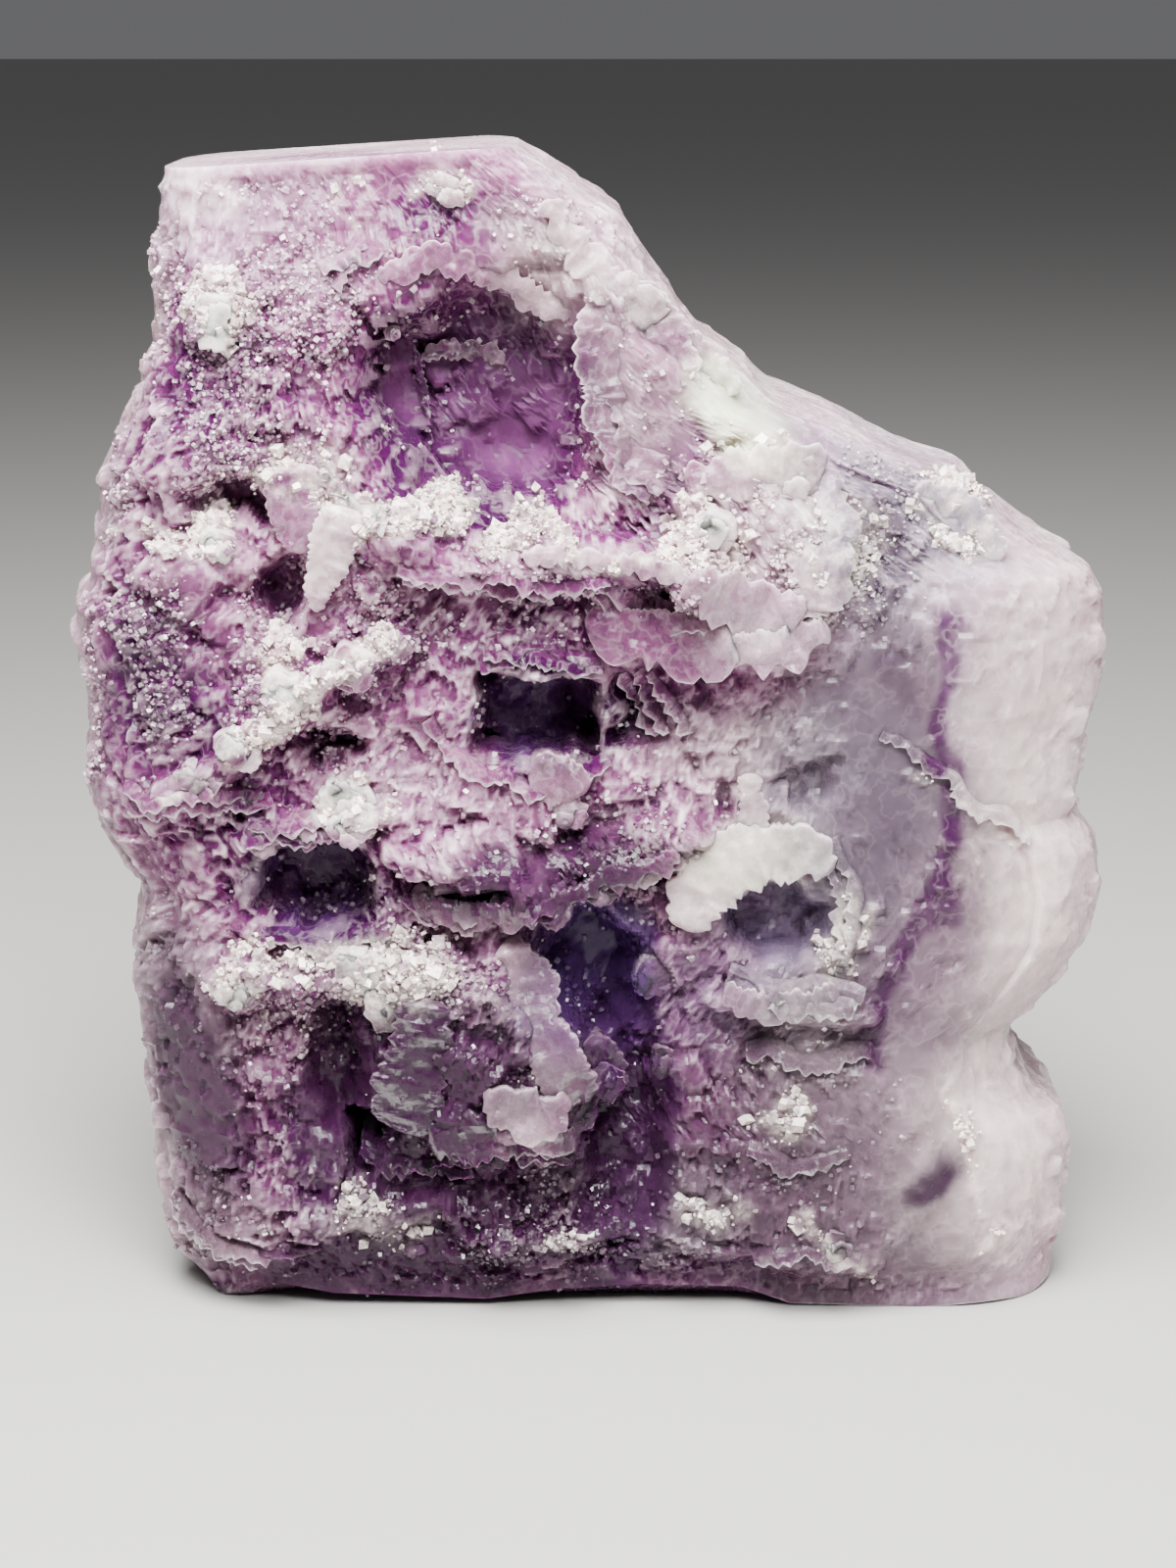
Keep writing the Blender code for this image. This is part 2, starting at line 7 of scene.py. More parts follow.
import bpy
import numpy as np
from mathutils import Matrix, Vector


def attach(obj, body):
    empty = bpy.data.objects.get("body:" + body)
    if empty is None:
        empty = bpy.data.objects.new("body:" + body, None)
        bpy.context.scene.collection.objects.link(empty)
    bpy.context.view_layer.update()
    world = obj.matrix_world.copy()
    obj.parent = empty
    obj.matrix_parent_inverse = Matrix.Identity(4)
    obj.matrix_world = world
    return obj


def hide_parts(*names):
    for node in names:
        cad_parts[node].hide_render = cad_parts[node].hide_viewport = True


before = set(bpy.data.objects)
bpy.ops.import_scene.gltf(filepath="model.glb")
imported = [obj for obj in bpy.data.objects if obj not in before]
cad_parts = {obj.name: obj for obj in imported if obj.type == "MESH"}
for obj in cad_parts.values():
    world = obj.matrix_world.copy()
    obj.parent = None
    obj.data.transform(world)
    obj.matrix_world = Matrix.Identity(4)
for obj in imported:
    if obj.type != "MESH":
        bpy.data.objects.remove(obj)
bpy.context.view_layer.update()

MM = 0.001

# Overall size of the slab
HALF_THICK = 17.5
BASE_FRONT = 12.0
# Middle of the finished cluster, left to right and front to back, from the slab's own middle
MIDDLE_X = 0.24
MIDDLE_Y = -3.77

# The slab's left and right edges as (height, x), from the base up
LEFT_EDGE = (
    (0, -31.5), (3, -33), (6, -34), (12, -34.5), (19, -35), (25, -36), (28.5, -36), (33, -35.5),
    (36, -37), (39, -39), (44.5, -39.5), (49, -39), (52.5, -40), (55.5, -40), (57, -38.5),
    (61, -38), (65, -37.5), (68, -36), (71, -34.5), (74, -34), (75, -33), (82, -33), (90, -32),
)
RIGHT_EDGE = (
    (0, 37.5), (7, 38), (12, 38.5), (14.5, 37.5), (16, 35.5), (18, 34.5), (21.5, 34), (23, 35.5),
    (26, 38), (29, 40), (33, 40.5), (36, 40), (38.5, 38), (41, 38.5), (46, 39), (48, 39.5),
    (51.5, 40), (56, 39.5), (58, 38.5), (59, 36.5), (60, 34.5), (62.5, 31.5), (64.5, 29.5),
    (65.5, 26.5), (67, 23), (69, 19.5), (71, 14.5), (74, 11), (76, 8), (79, 6), (82, 4), (85, 2),
    (87, -1), (89, -4), (90, -5.5),
)
# The top facet's line, as x and height of its two ends
TOP_LINE = ((-33, -5), (88.4, 90.2))
# Tallest point of the slab
TALL = 90.0
# The lowest line of the front, as (x, height): the base curls up from the table between its feet
FRONT_HEM = ((-32, 3), (-26, 2.5), (-20, 1.2), (-8, 0.7), (-2, 1.6), (4, 2), (12, 1.8), (16, 0.3), (26, 0),
    (38, 0.7))

# Hollows and swellings of the front: x, z, half width, half height, turn, flat share, height
ROUNDS = {
    "upper hollow": (-7, 71.5, 11.5, 12, -8, 0.35, -8.5),
    "bottom of the upper hollow": (-6, 65.3, 9.5, 3.8, 0, 0.5, -5),
    "cleft under the lump": (-27, 64.2, 5.2, 1.9, -5, 0.4, -4.5),
    "purple lump": (-31, 67.6, 6, 4.4, 0, 0.4, 2),
    "recess beside the tongues": (-23, 57, 2.4, 4, 0, 0.4, -5.5),
    "left block": (-31.5, 49.5, 8.5, 11, 0, 0.75, 1.6),
    "stepped side of the square pocket": (2, 47.4, 6, 4.4, 10, 0.3, -5),
    "slot under the ridge": (-19.3, 45.4, 3.2, 1.6, 10, 0.4, -4.5),
    "round pocket": (-21, 34.3, 4.7, 4.3, 0, 0.6, -11),
    "blue pocket": (-0.5, 27.6, 5.6, 6.6, 0, 0.5, -9.5),
    "indigo trough": (2.5, 14.5, 5.2, 15, 0, 0.3, -4),
    "arch hollow": (14.3, 31.4, 4.8, 3.8, 0, 0.55, -4.2),
    "slot left of the stalk": (10.6, 41.4, 1.2, 1.9, 0, 0.4, -4),
    "slot right of the stalk": (16.6, 42.4, 3.2, 2.6, 0, 0.4, -2),
    "black hole": (-17.4, 14, 1.9, 3.4, 0, 0.5, -7),
    "channel left of the blades": (-19.4, 20.5, 2.6, 7, 0, 0.4, -3.5),
    "right crust": (12.5, 59.5, 7.6, 9.4, 0, 0.6, 3.2),
    "blade lump": (-8, 21.4, 11, 10, 0, 0.45, 4),
    "lower right mass": (19, 12, 9.5, 11, 0, 0.6, 1.4),
    "sunken far right": (38, 30, 16, 34, 0, 0.1, -4),
    "upper right shoulder": (24, 64, 12, 9, -30, 0.3, -2),
    "upper left crust": (-27.6, 78.4, 3, 3.4, 0, 0.5, 1.4),
}
# Square-cornered hollows, named in the same way
SQUARES = {
    "square pocket": (-3.9, 47.7, 5.1, 3.7, -3, 0.72, -11),
}
# Ledges of the front: x and z of each end, half width above and below, height
LEDGES = {
    "white ledge": (-14.5, 61, 8, 59.8, 1.8, 3, 4.2),
    "left shelf": (-37, 59.6, -25, 60.4, 0.9, 3, 1.8),
    "low end of the slanted ridge": (-32, 41.5, -20, 50.5, 1.6, 2.6, 2.6),
    "high end of the slanted ridge": (-20, 50.5, -14.5, 53.5, 1.6, 2.6, 2.8),
    "left half of the middle ridge": (-14.5, 36.6, -4, 34.6, 3.4, 1.2, 3),
    "right half of the middle ridge": (-4, 34.6, 8, 38.4, 3.4, 1.2, 3),
    "rim over the round pocket": (-26, 38.6, -15, 40, 1.8, 1.2, 2),
    "rim under the round pocket": (-27.5, 28, -12, 29, 1.2, 3.4, 3.2),
    "lower right shelf": (10.5, 25.8, 20.5, 24.6, 1.1, 2, 2.2),
    "crust at the foot": (-22, 8, -11, 9.4, 1.4, 2, 1.6),
    "foot of the middle": (-6.5, 6.2, 4, 6.6, 1.6, 2, 1.6),
}

# Single crystals and plates grown out of the front: x, front y, z, width, height, thickness,
# clockwise spin about the view, nod (above 0 leans the top forward), swing to the right
PLATES = {
    "blade lump, pale tab": (-4.8, -21.6, 16.8, 4.8, 3.2, 1.5, -8, -18, 0),
    "blade lump, pale tab's step": (-3, -20.8, 18, 3.6, 3, 1.6, 24, -14, 8),
    "blade lump, small plate": (-0.6, -20, 17.6, 3, 4, 1.3, 30, -8, 24),
    "blade lump, outer plate": (1.6, -19, 19.2, 2.4, 3.6, 1.2, 34, -6, 30),
    "blade lump, low plate": (-1.6, -20, 14.4, 3, 2.4, 1.3, 40, -16, 10),
    "blade lump, root plate": (-8.6, -19.8, 14.8, 5.4, 3.6, 2, 24, -12, 0),
    "loose plate, upper": (5.1, -15.6, 27.4, 3, 3.6, 1.4, 20, 4, 10),
    "loose plate, lower": (5.9, -14.6, 20.6, 1.7, 2.8, 1.2, 8, 0, 14),
    "middle ridge, first tooth": (-12.4, -19.4, 33.6, 3, 2.6, 1.4, 42, -14, -4),
    "middle ridge, second tooth": (-9.4, -19.8, 32.6, 3.2, 2.8, 1.4, 48, -16, 0),
    "middle ridge, third tooth": (-6.2, -20, 33, 3.2, 2.8, 1.4, 40, -16, 4),
    "middle ridge, fourth tooth": (-2.8, -20, 33.9, 3.4, 2.8, 1.4, 46, -16, 0),
    "middle ridge, fifth tooth": (0.8, -19.6, 35.2, 3.2, 2.8, 1.4, 42, -14, 6),
    "middle ridge, sixth tooth": (4.2, -19, 36.6, 3.2, 2.8, 1.4, 48, -14, 10),
    "pocket rim, left": (-24.8, -18.6, 38.6, 3, 2.4, 1.4, 40, -12, -8),
    "pocket rim, middle": (-21.6, -19, 39.2, 3, 2.4, 1.4, 46, -12, 0),
    "pocket rim, right": (-18.2, -19, 39.6, 3.2, 2.4, 1.4, 42, -12, 8),
    "crust, corner block": (15.8, -19, 66.0, 3.8, 3.2, 2.4, -6, 10, 12),
    "crust, side block": (9.2, -20, 62.4, 3.2, 3.2, 2, 30, 12, -10),
    "chip under the dome": (-1.4, -19, 40.6, 3.2, 2.6, 1.4, 20, -6, 0),
    "low crust, left": (-17.6, -19.2, 28.6, 5, 3.4, 3, 12, 8, -8),
    "low crust, middle": (-15.4, -20, 25.8, 3.6, 4.4, 2.4, -14, 6, 0),
    "white tip": (-27, -17.6, 27, 2.6, 2.8, 2, 36, 4, -20),
    "slanted ridge, lowest block": (-29.4, -17.8, 43.4, 4, 2.6, 2.4, 34, 8, -10),
    "slanted ridge, low block": (-26.2, -18.2, 46, 4, 2.8, 2.4, 40, 8, -6),
    "slanted ridge, high block": (-22.6, -18.6, 49.8, 4.2, 4, 2.6, 30, 8, 0),
    "slanted ridge, top block": (-17.6, -18.4, 52, 4.4, 3.4, 2.4, 24, 8, 6),
    "blob on the rim": (-18.2, -18.8, 41.6, 5, 2.8, 2.4, 16, 10, 4),
    "white blob on the shelf": (-27.6, -17.4, 61.2, 2.8, 2.8, 2.2, 20, 12, 0),
    "upper left crust block": (-27.6, -16.6, 77.6, 3.2, 4.4, 2, 8, 10, -6),
    "slanted blade": (-10.6, -14.8, 87, 3.4, 2.2, 1.4, 24, 14, 0),
    "bright cube": (19.2, -17.6, 6.2, 2.6, 2.4, 2, 14, 10, 6),
    "cube in the hollow": (-14.6, -14, 76.4, 1.2, 1.2, 1.2, 10, 10, 10),
}


# Thick tongues, lobes and skirts: points of the middle line (x, z, half width), thickness, how far its
# face stands off the stone, depth of the teeth on its left and right rim as seen along the line, paleness
LOBES = {
    "flap": (((7.6, 31.6, 0.9), (8.2, 33.6, 1.9), (9.8, 35.8, 2.3), (12.4, 37.2, 2.3), (15.2, 37.6, 1.9),
        (17.4, 37.0, 1.3), (18.4, 35.8, 0.6)), 1.5, 1.2, 0.4, 0.8, 0.45),
    "stalk": (((12.2, 43.6, 0.9), (12.3, 41.6, 0.8), (12.4, 39, 1.2)), 1.0, 0.6, 0.3, 0.3, 0.3),
    "pale tongue": (((-18.0, 64, 1.3), (-18.6, 61.4, 1.9), (-19.6, 58.6, 1.3), (-20.6, 55.8, 0.3)), 1.2,
        1.3, 0.2, 0.2, 0.3),
    "pink tongue": (((-21.8, 67.2, 1.2), (-21.8, 65, 2.0), (-21.6, 62.4, 2.0), (-21.6, 60.4, 0.9)), 1.0,
        0.9, 0.3, 0.3, -0.02),
    "grey plate": (((-5.9, 30.6, 1.1), (-4.6, 27.4, 1.9), (-3.0, 23.4, 2.1), (-1.4, 19.4, 1.7),
        (-0.7, 17.8, 0.8)), 1.0, 1.4, 0.4, 0.3, 0.16),
    "dark plate": (((-12.0, 27, 1.4), (-12.6, 24, 2.4), (-13.2, 20.4, 2.8), (-14.0, 17.2, 2.2),
        (-14.4, 15.6, 1.0)), 0.7, 0.9, 0.6, 0.5, -0.26),
    "pale tab": (((-7.9, 19.6, 0.5), (-6.4, 18.4, 1.5), (-4.2, 17.5, 2.0), (-2.6, 17.9, 1.5),
        (-1.5, 19.2, 0.5)), 0.9, 1.9, 0.5, 0.5, 0.22),
    "tab below": (((-4.6, 15.8, 0.6), (-2.6, 15.2, 1.2), (-0.4, 15.6, 0.8)), 0.8, 1.8, 0.3, 0.1, 0.1),
    "outer plate": (((0.6, 22.4, 0.8), (1.4, 19.8, 1.6), (2.0, 17.2, 0.9)), 0.8, 1.0, 0.3, 0.3, 0.05),
    "root of the blades": (((-12.4, 15.2, 0.9), (-9.4, 15.6, 2.0), (-6.2, 16.4, 1.6)), 0.9, 0.8, 0.5, 0.7,
        0.0),
    "skirt": (((0.0, 55.4, 0.9), (2.4, 54.8, 1.6), (5.2, 54.2, 1.8), (8.4, 54.0, 1.8), (11.4, 54.4, 1.3)),
        0.9, 1.3, 0.2, 1.4, -0.02),
    "second skirt": (((10.2, 54.2, 0.9), (12.4, 53.8, 1.6), (15.2, 53.7, 1.7), (18.2, 54.8, 1.0)), 0.8, 1.2,
        0.3, 1.1, 0.02),
    "crust, right side": (((17.4, 66.4, 1.1), (17.9, 62.6, 1.8), (17.4, 59, 2.0), (16.6, 56.2, 1.4)), 1.2,
        0.8, 0.8, 0.9, -0.02),
    "crust, low": (((7.6, 59.6, 1.0), (9.8, 57.8, 1.9), (13.0, 56.9, 1.9), (16.4, 56.6, 1.0)), 1.1, 1.0,
        0.6, 1.0, -0.04),
    "crust, top": (((7.4, 66.0, 1.0), (10.6, 66.8, 1.5), (14.2, 66.9, 1.8), (17.6, 66.2, 1.3)), 1.1, 1.3,
        0.6, 1.0, 0.04),
    "lilac plate": (((2.4, 80.2, 2.0), (3.2, 76, 4.0), (4.2, 72, 4.4), (3.8, 68, 3.4), (3.0, 64.6, 1.0)),
        0.8, 0.1, 0.4, 0.4, 0.0),
    "lip of the ledge": (((-4.6, 60.6, 0.3), (-2, 60.6, 0.5), (1, 60.2, 0.4), (4, 60.2, 0.6),
        (7.4, 59.6, 0.4)), 0.8, 0.5, 0.5, 0.6, 0.2),
    "flake in the hollow": (((-12.6, 74.2, 0.2), (-11.0, 75.0, 0.5), (-8.8, 74.7, 0.7), (-6.6, 73.8, 0.3)),
        0.4, 0.4, 0.4, 0.5, 0.1),
    "arm of the flake": (((-13.2, 75.0, 0.15), (-12.8, 72.6, 0.2), (-12.0, 69.4, 0.1)), 0.3, 0.3, 0.2, 0.2,
        0.0),
    "rim over the hollow": (((-15.4, 80.6, 0.4), (-11.6, 82.2, 0.9), (-7.6, 81.4, 0.9), (-4.2, 79.4, 1.0),
        (-1.4, 77.2, 0.5)), 0.6, 0.3, 0.5, 0.7, 0.08),
    "shoulder rib": (((-3.4, 86.2, 0.5), (-0.4, 82.2, 1.2), (3.2, 78.4, 1.3), (7.4, 75.0, 1.0),
        (11.4, 71.8, 0.5)), 0.6, 0.2, 0.6, 0.7, 0.15),
    "lower right shelf": (((10.6, 27.2, 0.6), (13.2, 25.8, 0.9), (16.2, 25.6, 0.9), (19.4, 26.8, 0.6)), 0.9,
        1.1, 0.4, 0.8, 0.04),
    "silver facet": (((24.6, 64.6, 1.0), (27, 63.0, 2.0), (29.4, 61.2, 1.8), (31.4, 59.6, 0.8)), 0.6, 0.2,
        0.4, 0.4, 0.5),
    "middle ridge lip": (((-13, 33.8, 0.5), (-9, 33.2, 0.7), (-5.4, 33.4, 0.8), (-1.6, 34.6, 0.8),
        (2.4, 36.2, 0.8), (6.8, 37.8, 0.5)), 0.8, 1.0, 0.2, 1.0, 0.0),
    "grey dome": (((-4.2, 44.0, 1.0), (-2.2, 43.4, 2.0), (-0.2, 42.0, 1.2)), 1.4, 1.2, 0.2, 0.3, 0.1),
}


def rnd(i, j, k, salt):
    """A repeatable number from 0 to 1 for each lattice cell: the cell's whole numbers are mixed."""
    h = (i * 73856093) ^ (j * 19349663) ^ (k * 83492791) ^ (salt * 40503001)
    h = (h ^ (h >> 13)) * 1274126177 & 0x7FFFFFFF
    h = (h ^ (h >> 15)) * 668265263 & 0x7FFFFFFF
    return ((h ^ (h >> 11)) & 0xFFFFF) / 1048576.0


def smooth(low, high, value):
    """An S-shaped step from 0 at low to 1 at high."""
    t = np.clip((value - low) / (high - low), 0.0, 1.0)
    return t * t * (3.0 - 2.0 * t)


def noise(points, scale, salt):
    """Soft random hills: each lattice cube's corner values, blended between with S-shaped weights."""
    q = points / scale
    cell = np.floor(q).astype(np.int64)
    f = q - cell
    f = f * f * (3.0 - 2.0 * f)
    total = np.zeros(len(points))
    for corner in range(8):
        d = np.array([corner & 1, (corner >> 1) & 1, corner >> 2])
        weight = np.prod(np.where(d, f, 1.0 - f), axis=1)
        c = cell + d
        total += weight * rnd(c[:, 0], c[:, 1], c[:, 2], salt)
    return total * 2.0 - 1.0


def relief(x, z):
    """How far the front stands out at x, z: rounds and squares fade from their flat middle to their
    rim, ledges fall off on either side of a line."""
    total = rounds(x, z, ROUNDS.values())
    for cx, cz, rx, rz, turn, flat, height in SQUARES.values():
        c, s = math.cos(math.radians(turn)), math.sin(math.radians(turn))
        u = np.abs((x - cx) * c + (z - cz) * s) / rx
        w = np.abs((z - cz) * c - (x - cx) * s) / rz
        total = total + height * smooth(1.0, flat, np.maximum(u, w))
    for x0, z0, x1, z1, above, below, height in LEDGES.values():
        run = math.hypot(x1 - x0, z1 - z0)
        ax, az = (x1 - x0) / run, (z1 - z0) / run
        along = (x - x0) * ax + (z - z0) * az
        past = np.maximum(0.0, np.maximum(-along, along - run))
        across = (z - z0) * ax - (x - x0) * az
        reach = np.where(across > 0, above, below)
        total = total + height * smooth(1.0, 0.25, np.hypot(across / reach, past / 2.0))
    return total


def slab_grid(front_steps, corner_steps, side_steps, rear_steps, back_steps, rows, cap_rows):
    """Smooth slab as rows of points round a rounded rectangle, with its outward level directions.
    Each row's rectangle spans the two edge profiles at its height; cap rows shrink to a point."""
    loop = []
    rx, ry = 0.26, 0.6
    for n in range(front_steps):
        loop.append((-(1 - rx) + 2 * (1 - rx) * n / front_steps, -1.0, 0.0, -1.0))
    for n in range(corner_steps):
        g = math.pi / 2 * n / corner_steps
        loop.append(((1 - rx) + rx * math.sin(g), -(1 - ry) - ry * math.cos(g), math.sin(g), -math.cos(g)))
    for n in range(side_steps):
        loop.append((1.0, -(1 - ry) + 2 * (1 - ry) * n / side_steps, 1.0, 0.0))
    for n in range(rear_steps):
        g = math.pi / 2 * n / rear_steps
        loop.append(((1 - rx) + rx * math.cos(g), (1 - ry) + ry * math.sin(g), math.cos(g), math.sin(g)))
    for n in range(back_steps):
        loop.append(((1 - rx) - 2 * (1 - rx) * n / back_steps, 1.0, 0.0, 1.0))
    for n in range(rear_steps):
        g = math.pi / 2 * n / rear_steps
        loop.append((-(1 - rx) - rx * math.sin(g), (1 - ry) + ry * math.cos(g), -math.sin(g), math.cos(g)))
    for n in range(side_steps):
        loop.append((-1.0, (1 - ry) - 2 * (1 - ry) * n / side_steps, -1.0, 0.0))
    for n in range(corner_steps):
        g = math.pi / 2 * n / corner_steps
        loop.append((-(1 - rx) - rx * math.cos(g), -(1 - ry) - ry * math.sin(g), -math.cos(g),
            -math.sin(g)))
    loop = np.array(loop)
    levels = np.concatenate([np.zeros(cap_rows), np.linspace(0, 1, rows), np.ones(cap_rows)])
    shrink = np.concatenate([np.linspace(0.02, 0.97, cap_rows), np.ones(rows),
        np.linspace(0.97, 0.02, cap_rows)])
    lz, lx = np.array(LEFT_EDGE, float).T
    rz, rxx = np.array(RIGHT_EDGE, float).T
    v, u = np.meshgrid(levels, np.arange(len(loop)), indexing="ij")
    z = v * TALL
    left = np.interp(z, lz, lx)
    right = np.interp(z, rz, rxx)
    s = shrink[:, None]
    x = (left + right) / 2 + (right - left) / 2 * loop[u, 0] * s
    thick = HALF_THICK - 3.5 * smooth(72.0, TALL, z) - 2.5 * smooth(6.0, 0.0, z)
    y = thick * loop[u, 1] * s
    points = np.stack([x, y, z], axis=-1)
    out = np.stack([loop[u, 2], loop[u, 3], np.zeros(u.shape)], axis=-1)
    return points, out, np.broadcast_to(s, z.shape)


# Where each tint lies on the front: x, z, half width, half height, turn, flat share, strength
TINTS = {
    "purple": (
        (-8, 72, 12.5, 12, -8, 0.55, 0.5),
        (-12, 85, 12, 4, 0, 0.2, 0.25),
        (-27, 73, 9, 12, 0, 0.2, 0.2),
        (-31.5, 50, 8, 10, 0, 0.3, 0.3),
        (-5, 54.5, 15, 4.5, 0, 0.3, 0.06),
        (-8, 57, 9, 3, 0, 0.3, -0.12),
        (-2.6, 47.7, 8.5, 5.8, 0, 0.5, 0.5),
        (-21, 34.3, 7, 6, 0, 0.5, 0.55),
        (-22, 43.5, 9, 6, 15, 0.2, 0.2),
        (-0.5, 27.5, 7, 8, 0, 0.5, 0.5),
        (2.5, 13, 6, 15, 0, 0.4, 0.45),
        (-15, 3.8, 8, 3.4, 0, 0.3, 0.6),
        (-19, 12, 6, 14, 0, 0.4, 0.35),
        (-12.8, 21, 4.4, 6.4, 14, 0.5, 0.35),
        (-1.5, 6, 10, 8, 0, 0.3, 0.3),
        (-18, 15, 6, 9, 0, 0.4, 0.4),
        (12.6, 60, 9, 9, 0, 0.5, -0.26),
        (3.6, 71.5, 5, 9, 8, 0.5, 0.05),
        (-31, 20, 6, 16, 0, 0.5, -0.25),
        (-14, 22, 7, 8, 0, 0.4, 0.15),
        (26.8, 10.2, 3.2, 2.4, 60, 0.0, 1.0),
        (28.8, 12.2, 2.6, 1.7, 0, 0.0, 0.9),
        (-21.6, 85, 3.2, 5, 0, 0.2, 0.2),
        (-2.8, 83.6, 4.4, 3.6, 20, 0.2, 0.3),
    ),
    "milk": (
        (27.4, 11, 3.4, 2.6, 40, 0.1, -0.9),
        (41, 36, 17, 46, 0, 0.3, 0.9),
        (21, 12, 13, 15, 0, 0.5, 0.2),
        (-32, 18, 6, 16, 0, 0.3, 0.25),
        (-30, 6, 8, 6, 0, 0.3, 0.35),
        (12.6, 60, 9, 10, 0, 0.5, 0.18),
        (3.8, 71.5, 5, 9, 8, 0.4, 0.2),
        (-2, 82, 8, 7, -40, 0.3, 0.45),
        (9, 45, 8, 5, 0, 0.2, 0.25),
        (32, 11, 9, 13, 0, 0.4, 0.5),
    ),
    "indigo": (
        (-0.2, 27, 6.5, 8, 0, 0.5, 0.9),
        (3.2, 14, 5, 15, 0, 0.4, 0.6),
        (14.3, 31.4, 5, 4, 0, 0.5, 0.3),
        (-17.5, 14, 3, 4.5, 0, 0.4, 0.5),
        (10, 26, 8, 8, 0, 0.2, 0.25),
        (-4.4, 47.6, 5, 4, 0, 0.5, 0.35),
        (-21, 34.3, 5, 4.6, 0, 0.5, 0.3),
    ),
    "green": (
        (11.5, 71, 7, 4.4, -35, 0.4, 1.0),
        (6, 80, 4, 5, -40, 0.2, 0.25),
        (12.4, 37, 7, 4, 0, 0.5, 0.55),
    ),
    "slate": (
        (23, 62.5, 9, 8, -20, 0.3, 1.0),
        (30, 62, 6, 4, -30, 0.3, 0.6),
        (20, 40, 8, 15, 0, 0.3, 0.75),
        (22, 56, 5, 8, 0, 0.4, 0.5),
        (14.3, 31.4, 5, 4, 0, 0.5, 0.7),
        (-4, 24, 5, 7, 0, 0.3, 0.3),
        (16, 69.6, 8, 2.4, -30, 0.3, 0.6),
        (26, 66, 9, 4, -35, 0.4, 0.8),
    ),
    "ash": (
        (26, 30, 18, 46, 0, 0.4, 0.75),
        (12, 28, 9, 14, 0, 0.3, 0.35),
        (7, 9, 8, 8, 0, 0.4, 0.9),
        (-36, 22, 8, 18, 0, 0.4, 0.7),
        (14, 45, 8, 6, 0, 0.3, 0.4),
        (-2, 80, 8, 6, -30, 0.3, 0.12),
        (-8, 24, 5, 8, 30, 0.3, 0.3),
    ),
    # painted shade: darker towards the bottom, under the ridges and in the upper hollow; rows below 0 take
    # it away
    "shade": (
        (27.4, 11, 3.2, 2.4, 40, 0.0, 0.7),
        (22, 46, 7, 12, 0, 0.3, 0.35),
        (-31, 14, 7, 14, 0, 0.4, 0.45),
        (-2, 36, 14, 6, 10, 0.3, 0.4),
        (-13, 21, 4, 7, 14, 0.5, 0.8),
        (-15, 3, 13, 4, 0, 0.4, 0.4),
        (-32, 50, 9, 12, 0, 0.4, 0.3),
        (-8, 70, 8, 9, 0, 0.4, 0.3),
        (27.5, 48, 4, 16, 0, 0.3, 0.1),
        (0, 2, 60, 44, 0, 0.2, 0.7),
        (-12, 18, 15, 15, 0, 0.4, 0.5),
        (-31, 22, 8, 14, 0, 0.4, 0.35),
        (24, 30, 10, 14, 0, 0.3, 0.45),
        (-16, 3, 13, 5, 0, 0.4, 0.5),
        (3, 14, 6, 16, 0, 0.4, 0.35),
        (-36, 24, 8, 16, 0, 0.3, 0.5),
        (38, 14, 10, 18, 0, 0.4, -0.9),
        (-4, 36, 15, 4.4, 12, 0.4, 0.5),
        (21, 44, 9, 16, 0, 0.3, 0.35),
        (16, 14, 12, 14, 0, 0.4, 0.25),
        (-7, 70, 10, 10, 0, 0.3, -0.1),
        (-5, 15.5, 4, 3, 0, 0.5, -0.5),
        (-14, 27, 5, 3, 0, 0.5, -0.5),
        (23.5, 56, 4, 11, 10, 0.2, 0.42),
        (30, 37, 6, 10, 0, 0.2, 0.25),
        (22.5, 62, 6, 7, -30, 0.3, 0.4),
        (-12.5, 73, 6, 7, 10, 0.4, 0.1),
        (-15, 20, 10, 10, 0, 0.4, 0.15),
        (-26, 34, 8, 8, 0, 0.3, -0.2),
    ),
    "white": (
        (9.4, 62, 3.4, 5, 0, 0.4, 0.35),
        (12.5, 67.4, 5, 1.6, 0, 0.4, 0.5),
        (17.4, 60, 2.4, 6, 0, 0.4, 0.2),
        (-27.6, 78.4, 2.9, 4.2, 10, 0.5, 1.0),
        (-27.6, 61.6, 2.2, 2.2, 0, 0.5, 1.0),
        (-15.4, 27.6, 5, 4.2, 0, 0.4, 0.9),
        (-27, 27, 2, 2, 0, 0.5, 0.9),
        (-22.8, 26.2, 4.2, 3.6, 0, 0.2, 0.5),
        (-22.6, 52.3, 3, 3, 0, 0.4, 0.8),
        (-18.2, 41, 3.6, 2.4, 0, 0.4, 0.85),
        (19.4, 31, 1.6, 5, -12, 0.3, 0.8),
        (14.9, 17, 3, 4.4, 30, 0.2, 0.7),
        (10.6, 8.7, 4, 3, 0, 0.2, 0.55),
        (17, 22.6, 4, 1.4, 0, 0.2, 0.3),
        (20.4, 61, 3, 6, 0, 0.2, 0.45),
        (-16.5, 8, 6, 3, 0, 0.2, 0.4),
        (-1.5, 6.4, 5, 2.4, 0, 0.2, 0.45),
        (-10.6, 87.2, 2.6, 1.8, 0, 0.4, 0.5),
        (-17.8, 86, 1.6, 2.2, 0, 0.3, 0.7),
        (-21.5, 66, 5, 3.4, 0, 0.2, 0.5),
        (28.4, 62.8, 3.8, 2.2, -25, 0.4, 1.0),
        (15.5, 25, 5.6, 1.6, 0, 0.4, 0.15),
    ),
}
